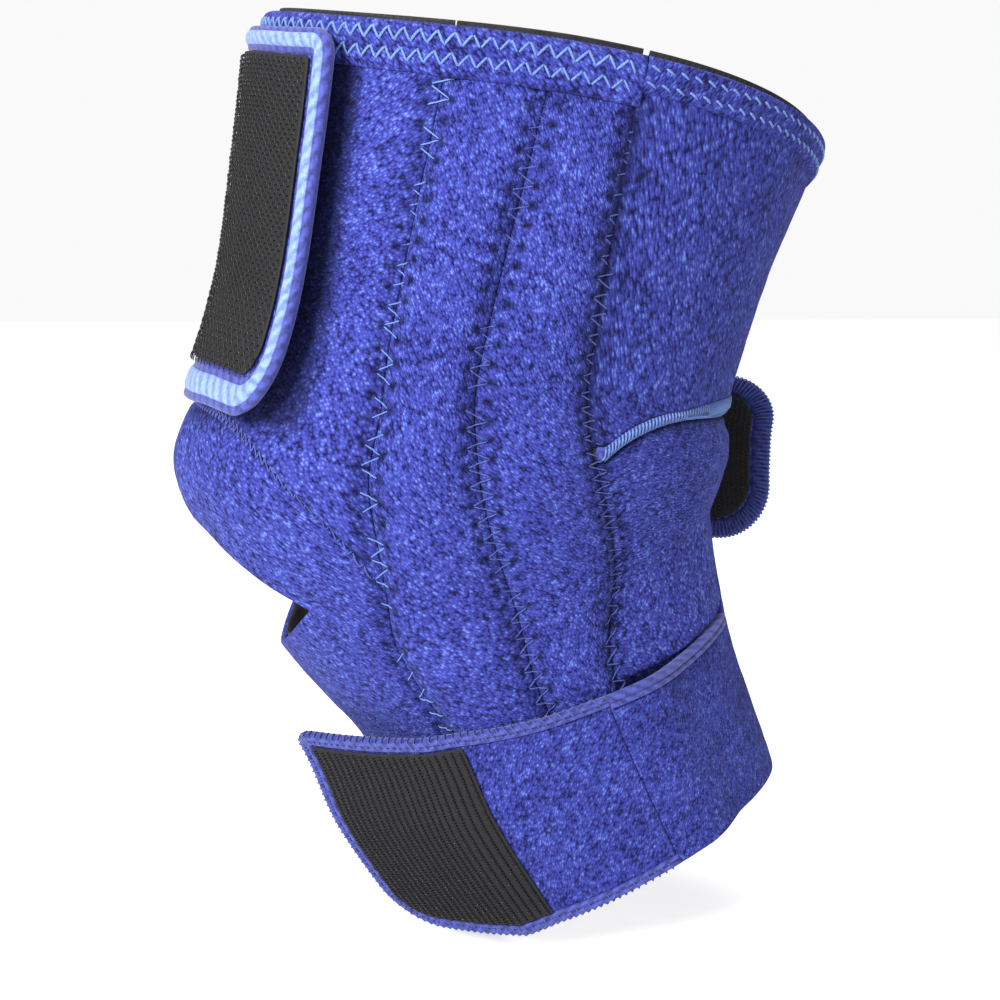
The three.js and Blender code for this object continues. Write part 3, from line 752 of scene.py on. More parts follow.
def hook_spots(tab, start, inset_tip, inset_side, row_pitch, hook_pitch):
    """Places for the hooks: rows along v, staggered, inside the tape's outline."""
    length = tab.length - inset_tip
    spots = []
    row = 0
    s = start + 0.8
    while s < length - 0.6:
        v = inset_side + 0.8 + (row % 2) * hook_pitch / 2
        while v < tab.height - inset_side - 0.6:
            low, high = tab_edges(tab, inset_side, np.array(s), length)
            if low + 0.7 < v < high - 0.7:
                spots.append((s, v))
            v += hook_pitch
        row += 1
        s += row_pitch
    return np.array(spots)


# ---- materials ----

def new_material(name):
    material = bpy.data.materials.new(name)
    material.use_nodes = True
    tree = material.node_tree
    return material, tree, tree.nodes["Principled BSDF"]


def node(tree, kind, inputs=None, **settings):
    made = tree.nodes.new(kind)
    for key, value in settings.items():
        setattr(made, key, value)
    for key, value in (inputs or {}).items():
        if isinstance(value, bpy.types.NodeSocket):
            tree.links.new(value, made.inputs[key])
        else:
            made.inputs[key].default_value = value
    return made


def ramp(tree, fac, stops):
    made = node(tree, "ShaderNodeValToRGB", {"Fac": fac})
    elements = made.color_ramp.elements
    while len(elements) < len(stops):
        elements.new(0.5)
    for element, (position, colour) in zip(elements, stops):
        element.position = position
        element.color = (*colour, 1)
    return made.outputs["Color"]


def mix(tree, kind, factor, a, b):
    made = node(tree, "ShaderNodeMix", data_type="RGBA", blend_type=kind)
    for socket, value in ((0, factor), (6, a), (7, b)):
        if isinstance(value, bpy.types.NodeSocket):
            tree.links.new(value, made.inputs[socket])
        else:
            made.inputs[socket].default_value = value if socket == 0 else (*value, 1)
    return made.outputs[2]


def bump(tree, height, strength, distance, normal=None):
    made = node(tree, "ShaderNodeBump", {"Height": height, "Strength": strength, "Distance": distance})
    if normal is not None:
        tree.links.new(normal, made.inputs["Normal"])
    return made.outputs["Normal"]


def pile_material(name, dark, mid, light, glint, loop=(1650, 830), turn=-0.7):
    """Brushed loop cloth: small staggered loops, a few of them worn pale; each loop is painted lighter on its
    crown up to a painted glint, and darker in the gaps between loops as painted shade.
    """
    material, tree, shader = new_material(name)
    uv = node(tree, "ShaderNodeUVMap", uv_map="UVMap").outputs["UV"]
    obj = node(tree, "ShaderNodeTexCoord").outputs["Object"]
    spun = node(tree, "ShaderNodeVectorRotate", {"Vector": uv, "Angle": turn}, rotation_type="Z_AXIS")
    rows = node(tree, "ShaderNodeMapping", {"Vector": spun.outputs["Vector"], "Scale": (loop[0], loop[1], 1)})
    loops = node(tree, "ShaderNodeTexVoronoi",
                 {"Vector": rows.outputs["Vector"], "Scale": 1.0, "Randomness": 0.9}, voronoi_dimensions="2D")
    own = node(tree, "ShaderNodeSeparateColor", {"Color": loops.outputs["Color"]}).outputs["Red"]
    # The crown also feeds the colour: loop tops painted lighter and gaps darker, painted highlight and
    # painted shade besides the bump.
    crown = node(tree, "ShaderNodeMath", {0: 1.0, 1: loops.outputs["Distance"]},
                 operation="SUBTRACT").outputs[0]
    clump = node(tree, "ShaderNodeTexNoise", {"Vector": obj, "Scale": 520.0, "Detail": 3.0,
                                              "Roughness": 0.65}).outputs["Fac"]
    worn = node(tree, "ShaderNodeTexNoise", {"Vector": obj, "Scale": 62.0, "Detail": 3.0,
                                             "Roughness": 0.6}).outputs["Fac"]
    single = node(tree, "ShaderNodeMath", {0: own, 1: 0.34, 2: clump}, operation="MULTIPLY_ADD").outputs[0]
    domed = node(tree, "ShaderNodeMath", {0: crown, 1: 0.5, 2: single}, operation="MULTIPLY_ADD").outputs[0]
    total = node(tree, "ShaderNodeMath", {0: worn, 1: 0.30, 2: domed}, operation="MULTIPLY_ADD").outputs[0]
    level = node(tree, "ShaderNodeMapRange", {"Value": total, "From Min": 0.72, "From Max": 1.62}).outputs[0]
    colour = ramp(tree, level, [(0.14, dark), (0.36, mid), (0.62, light), (0.90, glint)])
    # The shade attribute carries painted shade and painted shadow: it darkens the colour towards navy.
    shade = node(tree, "ShaderNodeAttribute", attribute_name="shade").outputs["Fac"]
    colour = mix(tree, "MULTIPLY", shade, colour, (0.07, 0.07, 0.13))
    tree.links.new(colour, shader.inputs["Base Color"])
    shader.inputs["Roughness"].default_value = 0.92
    shader.inputs["Specular IOR Level"].default_value = 0.2
    shader.inputs["Sheen Weight"].default_value = 0.08
    shader.inputs["Sheen Roughness"].default_value = 0.5
    shader.inputs["Sheen Tint"].default_value = (0.5, 0.62, 1.0, 1)
    first = bump(tree, clump, 0.35, 0.0006)
    tree.links.new(bump(tree, crown, 0.6, 0.0005, first), shader.inputs["Normal"])
    return material


def thread_material(name, colour, pale):
    material, tree, shader = new_material(name)
    obj = node(tree, "ShaderNodeTexCoord").outputs["Object"]
    twist = node(tree, "ShaderNodeTexWave", {"Vector": obj, "Scale": 420.0, "Distortion": 1.5},
                 wave_type="BANDS", bands_direction="DIAGONAL").outputs["Fac"]
    patch = node(tree, "ShaderNodeTexNoise", {"Vector": obj, "Scale": 90.0, "Detail": 2.0}).outputs["Fac"]
    tree.links.new(mix(tree, "MIX", patch, colour, pale), shader.inputs["Base Color"])
    shader.inputs["Roughness"].default_value = 0.55
    shader.inputs["Sheen Weight"].default_value = 0.2
    tree.links.new(bump(tree, twist, 0.5, 0.0002), shader.inputs["Normal"])
    return material


def tape_material(name, dark, light, rib=900.0):
    """Woven or knitted edge tape: fine ribs across it."""
    material, tree, shader = new_material(name)
    uv = node(tree, "ShaderNodeUVMap", uv_map="UVMap").outputs["UV"]
    obj = node(tree, "ShaderNodeTexCoord").outputs["Object"]
    ribs = node(tree, "ShaderNodeTexWave",
                {"Vector": uv, "Scale": rib / 6.28, "Distortion": 2.2, "Detail": 2.0, "Detail Scale": 3.0},
                wave_type="BANDS", bands_direction="DIAGONAL").outputs["Fac"]
    grain = node(tree, "ShaderNodeTexNoise", {"Vector": obj, "Scale": 900.0, "Detail": 3.0,
                                              "Roughness": 0.6}).outputs["Fac"]
    both = node(tree, "ShaderNodeMath", {0: ribs, 1: 0.35, 2: grain}, operation="MULTIPLY_ADD").outputs[0]
    level = node(tree, "ShaderNodeMapRange", {"Value": both, "From Min": 0.38, "From Max": 0.95}).outputs[0]
    tree.links.new(ramp(tree, level, [(0.05, dark), (0.9, light)]), shader.inputs["Base Color"])
    shader.inputs["Roughness"].default_value = 0.7
    shader.inputs["Sheen Weight"].default_value = 0.25
    tree.links.new(bump(tree, both, 0.5, 0.0003), shader.inputs["Normal"])
    return material


def knit_material(name, dark, light):
    """Smooth black knit of the lining, with fine courses."""
    material, tree, shader = new_material(name)
    uv = node(tree, "ShaderNodeUVMap", uv_map="UVMap").outputs["UV"]
    obj = node(tree, "ShaderNodeTexCoord").outputs["Object"]
    courses = node(tree, "ShaderNodeTexWave",
                   {"Vector": uv, "Scale": 190.0, "Distortion": 1.0, "Detail": 2.0},
                   bands_direction="X").outputs["Fac"]
    wales = node(tree, "ShaderNodeTexWave", {"Vector": uv, "Scale": 150.0, "Distortion": 1.0, "Detail": 2.0},
                 bands_direction="Y").outputs["Fac"]
    grain = node(tree, "ShaderNodeTexNoise", {"Vector": obj, "Scale": 260.0, "Detail": 4.0}).outputs["Fac"]
    weave = node(tree, "ShaderNodeMath", {0: courses, 1: wales}, operation="MULTIPLY").outputs[0]
    both = node(tree, "ShaderNodeMath", {0: weave, 1: 0.6, 2: grain}, operation="MULTIPLY_ADD").outputs[0]
    tree.links.new(ramp(tree, both, [(0.3, dark), (0.95, light)]), shader.inputs["Base Color"])
    shader.inputs["Roughness"].default_value = 0.8
    tree.links.new(bump(tree, both, 0.5, 0.0003), shader.inputs["Normal"])
    return material


def hook_material(name, dark, light, roughness):
    material, tree, shader = new_material(name)
    obj = node(tree, "ShaderNodeTexCoord").outputs["Object"]
    grain = node(tree, "ShaderNodeTexNoise", {"Vector": obj, "Scale": 500.0, "Detail": 3.0}).outputs["Fac"]
    tree.links.new(ramp(tree, grain, [(0.35, dark), (0.7, light)]), shader.inputs["Base Color"])
    gloss = node(tree, "ShaderNodeMapRange",
                 {"Value": grain, "To Min": roughness * 0.7, "To Max": roughness * 1.4})
    tree.links.new(gloss.outputs[0], shader.inputs["Roughness"])
    tree.links.new(bump(tree, grain, 0.3, 0.0002), shader.inputs["Normal"])
    shader.inputs["Specular IOR Level"].default_value = 0.7
    return material


def gel_material(name):
    material, tree, shader = new_material(name)
    obj = node(tree, "ShaderNodeTexCoord").outputs["Object"]
    cloud = node(tree, "ShaderNodeTexNoise", {"Vector": obj, "Scale": 60.0, "Detail": 4.0}).outputs["Fac"]
    tree.links.new(ramp(tree, cloud, [(0.3, (0.10, 0.32, 0.55)), (0.75, (0.35, 0.62, 0.80))]),
                   shader.inputs["Base Color"])
    shader.inputs["Roughness"].default_value = 0.2
    shader.inputs["Transmission Weight"].default_value = 0.3
    tree.links.new(bump(tree, cloud, 0.2, 0.0005), shader.inputs["Normal"])
    return material


NAVY = (0.006, 0.008, 0.060)
# The last colour of each pile is a painted glint, reached on the brightest loop crowns.
PILE = pile_material("brushed_pile", NAVY, (0.034, 0.040, 0.27), (0.056, 0.068, 0.40), (0.15, 0.25, 0.68))
STRAP_PILE = pile_material("brushed_strap_pile", NAVY, (0.031, 0.037, 0.25), (0.050, 0.062, 0.37),
                           (0.13, 0.22, 0.62), loop=(1650, 700), turn=-0.5)
BLUE_THREAD = thread_material("blue_thread", (0.030, 0.038, 0.24), (0.075, 0.12, 0.46))
PALE_THREAD = thread_material("pale_thread", (0.08, 0.16, 0.50), (0.19, 0.34, 0.66))
BLUE_TAPE = tape_material("blue_edge_tape", (0.016, 0.020, 0.16), (0.065, 0.085, 0.43))
PALE_TAPE = tape_material("pale_edge_tape", (0.10, 0.17, 0.50), (0.27, 0.40, 0.74))
LINING_KNIT = knit_material("black_lining_knit", (0.003, 0.003, 0.005), (0.028, 0.028, 0.036))
HOOK_BASE = hook_material("hook_tape_base", (0.001, 0.001, 0.0015), (0.006, 0.006, 0.008), 0.75)
HOOKS = hook_material("hook_tape_hooks", (0.0015, 0.0015, 0.002), (0.010, 0.010, 0.012), 0.2)
GEL = gel_material("gel")


def dress(obj, material, body=None, replaces=()):
    obj.data.materials.clear()
    obj.data.materials.append(material)
    if body:
        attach(obj, body)
    if replaces:
        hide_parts(*replaces)
    return obj


def dress_bent(obj, material, replaces=()):
    """A piece that spans two bodies: dressed without a body, with its transform baked into its mesh."""
    dress(obj, material, None, replaces)
    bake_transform(obj)


# ---- body ----

BODY = "wrap_body"


def seam(rows):
    return lambda level: along(rows, level)


def medial(rows):
    return lambda level: 180 - along(rows, level)


def constant(value):
    return lambda u: np.asarray(u, float) * 0 + value


def channel_inner(b, level):
    return np.maximum(body_outer(b, level) - PANEL, LINING + 0.2)


def foam_inner(b, level):
    return np.zeros_like(level) + LINING + FRONT_GAP - 0.5


def seam_shade(b, level):
    """Painted shade in the needle holes, along the sunken seams, in the groove beside seam C and in the
    crease over the kneecap, with the painted shadow beside the upper tab's end.
    """
    m = lateral_of(b)
    dark = np.zeros_like(level)
    # Needle holes and sunken seam lines: painted shade in their recesses.
    for rows in (SEAM_A, SEAM_B, SEAM_C):
        dark = np.maximum(dark, 1.0 * zigzag_dips(m, level, rows, 0.85))
        dark = np.maximum(dark, 0.42 * near_seam(m, level, rows, 3.4))
    # Painted shade in the groove beside seam C.
    groove = (m - along(SEAM_C, level)) / DEGREES_PER_MM
    dark = np.maximum(dark, 0.9 * np.exp(-((groove + 0.8) / 0.9) ** 2))
    # Painted shade in the crease along the seam over the kneecap.
    over_arch = (level - arch_level(m)) * 1.5
    in_front = smoothstep(along(SEAM_A, level) - m, 0, 4)
    dark = np.maximum(dark, 0.85 * in_front * np.exp(-((over_arch + 0.2) / 0.9) ** 2))
    # Painted shadow beside the upper tab's free end.
    return np.maximum(dark, tab_shadow(b, level))


def tab_shadow(b, level):
    """Painted shadow beside the upper tab's free end, as if cast by the tab standing off the wrap, wider
    towards its lower corner.
    """
    low, high = float(upper_strap_bottom(UPPER_TAB_LEAVE)), float(upper_strap_top(UPPER_TAB_LEAVE))
    down = np.clip((high - level) / (high - low), 0, 1)
    lateral_side = smoothstep(np.asarray(b, float) % 360, 270, 290)
    width = 4.0 + 7.0 * down
    beyond = ((b % 360) - TAB_SHADOW_BEARING) / DEGREES_PER_MM
    across = smoothstep(-beyond, -width, -0.35 * width)
    along_end = smoothstep(level, low - 6, low) * smoothstep(-level, -high - 2, -high + 4)
    return 0.85 * across * along_end * lateral_side


def body_top(left, right):
    return lambda u: rim(lerp(left(228), right(228), u)) - HEM_WIDTH


def make_channels():
    pairs = {
        "lateral_channel_front": (seam(SEAM_A), seam(SEAM_B)),
        "lateral_channel_rear": (seam(SEAM_B), seam(SEAM_C)),
        "medial_channel_rear": (medial(SEAM_C), medial(SEAM_B)),
        "medial_channel_front": (medial(SEAM_B), medial(SEAM_A)),
    }
    for name, (left, right) in pairs.items():
        piece = body_sheet(name + "_cloth", left, right, constant(BODY_BOTTOM), body_top(left, right),
                           channel_inner, body_outer, pitch=0.8, round_edge=0.4, shade=seam_shade)
        dress(piece, PILE, BODY, [name])


def front_left(level):
    return along(SEAM_A, level)


def front_right(level):
    return -180 - along(SEAM_A, level)


def make_thigh_front():
    piece = body_sheet("thigh_front_cloth", front_left, front_right, arch,
                       lambda u: rim(lerp(along(SEAM_A, 228), -180 - along(SEAM_A, 228), u)) - HEM_WIDTH,
                       foam_inner, body_outer, pitch=1.0, round_edge=0.5, shade=seam_shade)
    dress(piece, PILE, BODY, ["thigh_front_panel"])


PATELLA_CENTRE = np.array([-55.0, 0, -25.0])
PATELLA_AXIS = np.array([-0.82, 0, -0.57]) / math.hypot(0.82, 0.57)
PATELLA_HALF_WIDTH = 40.0
PATELLA_TOP = 29.0
PATELLA_BOTTOM = -17.0
PATELLA_CORNER = -9.0


def patella_reach(points, grow=0.0):
    """1 on the edge of the almond-shaped kneecap opening, less inside it and more outside."""
    rel = points - PATELLA_CENTRE
    across = np.array([0.0, 1.0, 0.0])
    up = np.cross(across, PATELLA_AXIS)
    y, z = rel @ across, rel @ up
    span = y / (PATELLA_HALF_WIDTH + grow)

    def edge(middle):
        control = 2 * middle - PATELLA_CORNER
        return PATELLA_CORNER * (1 + span * span) / 2 + control * (1 - span * span) / 2

    high, low = edge(PATELLA_TOP + grow), edge(PATELLA_BOTTOM - grow)
    reach = np.abs(z - (high + low) / 2) / np.maximum((high - low) / 2, 1e-6)
    return np.where((rel @ PATELLA_AXIS > -28) & (np.abs(span) < 1), reach, 9.0)


def ring_panel(name, inner, outer, grow, top, bottom, left, right, drape_amount, shade=None, top_round=0.5):
    """A front panel with the kneecap opening: rings run from the opening out to the panel's edge."""
    spokes, rings = 360, 64
    turn = np.linspace(0, 2 * np.pi, spokes, endpoint=False)
    # The opening's edge in (u, v) of the panel, found along each spoke from the opening's middle.
    hole_u, hole_v = 0.5, hole_middle(top, bottom, left, right, grow)

    def point_at(u, v, off):
        level = lerp(bottom(u), top(u), v)
        bearing = lerp(left(level), right(level), u)
        return skin(bearing, level, off), bearing, level

    cu, sv = np.cos(turn), np.sin(turn)
    reach_u = np.where(cu > 0, (1 - hole_u) / np.maximum(cu, 1e-9), hole_u / np.maximum(-cu, 1e-9))
    reach_v = np.where(sv > 0, (1 - hole_v) / np.maximum(sv, 1e-9), hole_v / np.maximum(-sv, 1e-9))
    far = np.minimum(reach_u, reach_v)
    low, high = np.zeros(spokes), far.copy()
    for _ in range(26):
        mid = (low + high) / 2
        p, _b, _l = point_at(hole_u + mid * cu, hole_v + mid * sv, 3.0)
        inside = patella_reach(p, grow) < 1
        low, high = np.where(inside, mid, low), np.where(inside, high, mid)
    near = (low + high) / 2
    near_steps = np.array([0, 0.08, 0.3, 0.65, 1.0]) * 1.3
    edge_values = [1 - 0.4 / 60, 1 - 0.1 / 60, 1]
    T = np.concatenate([near_steps / 60, np.linspace(2.6 / 60, 1 - 0.9 / 60, rings), edge_values])
    R = near[:, None] + (far - near)[:, None] * T[None, :]
    U = np.clip(hole_u + R * cu[:, None], 0, 1)
    V = np.clip(hole_v + R * sv[:, None], 0, 1)
    flat, B, L = point_at(U, V, 3.0)
    d_hole = np.linalg.norm(flat - flat[:, :1], axis=-1)
    d_edge = np.linalg.norm(flat - flat[:, -1:], axis=-1)
    factor = np.minimum(edge_round(d_hole, 1.3), edge_round(d_edge, top_round))
    lo, hi = inner(B, L), outer(B, L)
    hi = hi + drape(flat, drape_amount)
    mid, half = (lo + hi) / 2, (hi - lo) / 2
    outside = skin(B, L, mid + half * factor)
    inside = skin(B, L, mid - half * factor)
    value = shade(B, L) if shade else np.zeros_like(L)
    # close the rings by repeating the first spoke's index
    n, m = outside.shape[:2]
    points = np.concatenate([outside.reshape(-1, 3), inside.reshape(-1, 3)])
    i, j = np.meshgrid(np.arange(n), np.arange(m - 1), indexing="ij")
    i, j = i.ravel(), j.ravel()
    nxt = (i + 1) % n
    k = n * m
    outer_faces = np.stack([i * m + j, nxt * m + j, nxt * m + j + 1, i * m + j + 1], 1)
    inner_faces = outer_faces[:, ::-1] + k
    ring_i = np.arange(n)
    ring_n = (ring_i + 1) % n
    hole_wall = np.stack([ring_n * m, ring_i * m, ring_i * m + k, ring_n * m + k], 1)
    e = m - 1
    edge_wall = np.stack([ring_i * m + e, ring_n * m + e, ring_n * m + e + k, ring_i * m + e + k], 1)
    quads = np.concatenate([outer_faces, inner_faces, hole_wall, edge_wall])
    if signed_volume(points, quads) < 0:
        quads = quads[:, ::-1]
    obj = build_mesh(name, points, [quads])
    uv = np.stack([B / DEGREES_PER_MM, L * 1.4], -1).reshape(-1, 2)
    set_uv(obj, np.concatenate([uv, uv]))
    set_shade(obj, value.ravel())
    edges = point_at(np.linspace(0, 1, 60), np.full(60, 0.3), 3.0)[0]
    spine = point_at(np.full(60, 0.02), np.linspace(0, 1, 60), 3.0)[0]
    width = np.linalg.norm(np.diff(edges, axis=0), axis=1).sum()
    length = max(np.linalg.norm(np.diff(point_at(np.full(60, 0.5), np.linspace(0, 1, 60), 3.0)[0], axis=0),
                                axis=1).sum(), np.linalg.norm(np.diff(spine, axis=0), axis=1).sum())
    area = sheet_area(np.concatenate([outside, outside[:1]]))
    flat_sizes[obj.name] = (width * MM, length * MM, min(area, width * length * 0.99) * MM * MM)
    return obj


def hole_middle(top, bottom, left, right, grow):
    """v of the opening's middle on the panel's centre line."""
    v = np.linspace(0.02, 0.98, 400)
    u = np.full_like(v, 0.5)
    level = lerp(bottom(u), top(u), v)
    bearing = lerp(left(level), right(level), u)
    inside = patella_reach(skin(bearing, level, 3.0), grow) < 1
    return float(v[inside].mean())


def make_knee_cup():
    piece = ring_panel("knee_cup_cloth", foam_inner, body_outer, 0.0, arch, constant(BODY_BOTTOM),
                       front_left, front_right, 1.0, seam_shade)
    dress(piece, PILE, BODY, ["knee_cup_panel"])


def make_linings():
    def lining_inner(b, level):
        return np.zeros_like(level)

    def lining_outer(b, level):
        return np.zeros_like(level) + LINING

    spans = {
        "lateral_lining": (seam(SEAM_A), seam(SEAM_C)),
        "medial_lining": (medial(SEAM_C), medial(SEAM_A)),
    }
    for name, (left, right) in spans.items():
        piece = body_sheet(name + "_cloth", left, right, constant(BODY_BOTTOM + 0.5),
                           lambda u, l=left, r=right: rim(lerp(l(228), r(228), u)) + LINING_RISE,
                           lining_inner, lining_outer, pitch=2.2, round_edge=0.5, drape_amount=0.0)
        dress(piece, LINING_KNIT, BODY, [name])
    piece = ring_panel("front_lining_cloth", lining_inner, lining_outer, -1.5,
                       lambda u: rim(lerp(along(SEAM_A, 228), -180 - along(SEAM_A, 228), u)) + LINING_RISE,
                       constant(BODY_BOTTOM + 0.5), front_left, front_right, 0.0)
    dress(piece, LINING_KNIT, BODY, ["front_lining"])


def make_knee_panel():
    def shade(b, level):
        # Painted shadow under the upper strap's slit edge, added to the seams' painted shade.
        edge = np.abs(level - (upper_strap_bottom(b) - SLIT_GAP))
        return np.maximum(seam_shade(b, level), 0.75 * np.exp(-edge / 3.0))

    piece = body_sheet(
        "lateral_knee_cloth", seam(SEAM_C), constant(KNEE_PANEL_EDGE),
        lambda u: lower_strap_top(lerp(float(along(SEAM_C, 50)), KNEE_PANEL_EDGE, u)) + 0.4,
        lambda u: upper_strap_bottom(lerp(float(along(SEAM_C, 129)), KNEE_PANEL_EDGE, u)) - 1.5,
        lambda b, level: np.zeros_like(level) + SKIN_LIFT, body_outer, pitch=0.9, round_edge=1.1, shade=shade,
    )
    dress(piece, PILE, BODY, ["lateral_knee_panel"])


def hem_outer(b, level):
    """The folded hem: a rounded band that dips along its two rows of stitches."""
    below = rim(b) - level
    body_below = body_outer(b, np.minimum(level, rim(b) - HEM_WIDTH - 0.5))
    height = np.maximum(body_below, LINING + FRONT_GAP + HEM_THICK)
    first_roll = 0.5 * np.sin(np.pi * np.clip(below / 6.0, 0, 1))
    second_roll = 0.35 * np.sin(np.pi * np.clip((below - 6) / 6, 0, 1))
    return height + first_roll + second_roll - 0.7 * smoothstep(2.5 - below, 0, 2.5)


def make_hem():
    start, end = 180 - float(along(SEAM_C, 220)) + 0.3, 360 + float(along(SEAM_C, 228)) - 0.6

    def right(level):
        return 360 + along(SEAM_C, level) + 0.1


    def inner(b, level):
        return np.zeros_like(level) + LINING + 0.4

    piece = body_sheet("top_hem_cloth", constant(start), right,
                       lambda u: rim(lerp(start, end, u)) - HEM_WIDTH, lambda u: rim(lerp(start, end, u)),
                       inner, hem_outer, pitch=1.1, round_edge=1.0)
    dress(piece, PILE, BODY, ["top_hem"])
    rows = []
    for drop, half in ((3.6, 1.5), (8.2, 1.5)):
        count = int((end - start) / (2.1 * 0.8))
        bearings = np.linspace(start + 1, end - 1, count)
        for k in range(count - 1):
            side0, side1 = (half, -half) if k % 2 == 0 else (-half, half)
            first = (bearings[k], float(rim(bearings[k])) - drop + side0)
            second = (bearings[k + 1], float(rim(bearings[k + 1])) - drop + side1)
            rows.append(stitch_line(first, second, hem_outer, sag=0.5, lift=0.3))
    stitches = tubes_object("top_hem_stitches", rows, 0.34)
    dress(stitches, PALE_THREAD, BODY)


def make_seam_stitches():
    for name, rows, low, seed in (("a", SEAM_A, 40, 1), ("b", SEAM_B, 20, 2), ("c", SEAM_C, 12, 3)):
        for medial_side, label in ((False, "lateral"), (True, "medial")):
            stitches = zigzag(f"{label}_seam_{name}_stitches", rows, low, 214, medial_side, 0.2,
                              0.45 if name == "a" else 0.12, seed)
            dress(stitches, BLUE_THREAD if name != "a" else PALE_THREAD, BODY)
    u = np.linspace(0.012, 0.988, 150)
    lines = []
    for k in range(len(u) - 1):
        points = []
        for step, uu in ((k, u[k]), (k + 1, u[k + 1])):
            level = float(arch(uu)) + (0.9 if step % 2 == 0 else -0.9)
            bearing = float(lerp(front_left(level), front_right(level), uu))
            points.append((bearing, level))
        lines.append(stitch_line(points[0], points[1], body_outer, sag=0.5, lift=0.25))
    dress(tubes_object("arch_stitches", lines, 0.24), BLUE_THREAD, BODY)


make_channels()
make_thigh_front()
make_knee_cup()
make_knee_panel()
make_linings()
make_hem()
make_seam_stitches()

# ---- straps ----

UPPER_MIDDLE = 236.0
STRAP_BEND = 16.0
LOWER_MIDDLE = 14.0


def strap_sheet(name, start, end, bottom, top, lift, pitch=1.1, round_edge=1.2, drape_amount=0.9, shade=None,
                thick=STRAP):
    """A strap piece on the limb. start and end are functions of v, in bearing."""
    def outer(b, level):
        return lift(b) + thick

    def inner(b, level):
        return lift(b) + 0.0 * level

    middle_b = 0.5 * (float(np.mean(start(0.5))) + float(np.mean(end(0.5))))
    width = abs(float(np.mean(end(0.5))) - float(np.mean(start(0.5)))) * 1.25
    height = float(top(middle_b) - bottom(middle_b))
    du, dv = edge_steps(width, pitch, round_edge), edge_steps(height, pitch, round_edge)
    U, V = np.meshgrid(du / width, dv / height, indexing="ij")
    B = lerp(start(V), end(V), U)
    L = lerp(bottom(B), top(B), V)
    factor = np.minimum(
        edge_round(np.minimum(U, 1 - U) * width, round_edge),
        edge_round(np.minimum(V, 1 - V) * height, round_edge),
    )
    low, high = inner(B, L), outer(B, L)
    high = high + drape(skin(B, L, high), drape_amount)
    mid, half = (low + high) / 2, (high - low) / 2
    outside, inside = skin(B, L, mid + half * factor), skin(B, L, mid - half * factor)
    value = shade(B, L) if shade else None
    obj = closed_sheet(name, outside, inside, np.stack([U * width, V * height], -1), value)
    note_flat(obj, outside)
    return obj


def blend_planes(bearing0, bearing1, level, lift):
    """Two points on the strap, in metres."""
    start = skin(bearing0, level, float(lift(bearing0))) * MM
    end = skin(bearing1, level, float(lift(bearing1))) * MM
    return tuple(float(x) for x in start), tuple(float(x) for x in end)


REAR_HEM = 9.0
REAR_HEM_RISE = 0.7


def make_strap_rim():
    """The hem that closes the strap's top edge, and the black lining that shows above it."""
    first = float(along(SEAM_C, 228)) + 0.2
    bearings = np.arange(first, UPPER_MIDDLE, 0.9)
    path = np.stack([bearings, upper_strap_top(bearings), bearings * 0, bearings * 0 - 1], 1)

    def place(s, v, z):
        return skin(s, v, upper_lift(s) + z)

    section = band_section(REAR_HEM, -0.1, STRAP + REAR_HEM_RISE)
    hem_band = sweep("upper_strap_hem_cloth", place, path, section)
    dress(hem_band, STRAP_PILE)
    backing = strap_sheet(
        "upper_strap_lining_cloth", lambda v: np.asarray(v, float) * 0 + first + 0.6,
        lambda v: np.asarray(v, float) * 0 + UPPER_MIDDLE,
        lambda b: upper_strap_top(b) - REAR_HEM, lambda b: upper_strap_top(b) + LINING_RISE,
        lambda b: upper_lift(b) - 0.9, round_edge=0.4, drape_amount=0.0, thick=0.7,
    )
    dress(backing, LINING_KNIT)
    lines = []
    for drop in (2.8, 6.6):
        marks = np.arange(first + 1.5, UPPER_MIDDLE - 1.5, 2.7)
        for mark in marks:
            bearing = mark + np.linspace(-0.85, 0.85, 6)
            arch_up = 0.35 * (1 - np.linspace(-1, 1, 6) ** 4)
            lines.append(skin(bearing, upper_strap_top(bearing) - drop + np.linspace(0.5, -0.5, 6),
                              upper_lift(bearing) + STRAP + REAR_HEM_RISE + arch_up))
    stitches = tubes_object("upper_strap_hem_stitches", lines, 0.34, 5)
    dress(stitches, PALE_THREAD)
    for piece in (hem_band, backing, stitches):
        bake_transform(piece)


def forward_planes(bearing, low, high, lift, length):
    """Two points, in metres, square to the strap's hinge and straight forwards.

    Measured that way, all the cloth from the sewn side round the back lies before the first point.
    """
    bottom, top = skin(bearing, low, float(lift(bearing))), skin(bearing, high, float(lift(bearing)))
    hinge = (top - bottom) / np.linalg.norm(top - bottom)
    forwards = np.array([-1.0, 0.0, 0.0])
    forwards = forwards - hinge * (forwards @ hinge)
    forwards /= np.linalg.norm(forwards)
    start = (bottom + top) / 2
    end = start + forwards * length
    return tuple(float(x) for x in start * MM), tuple(float(x) for x in end * MM)


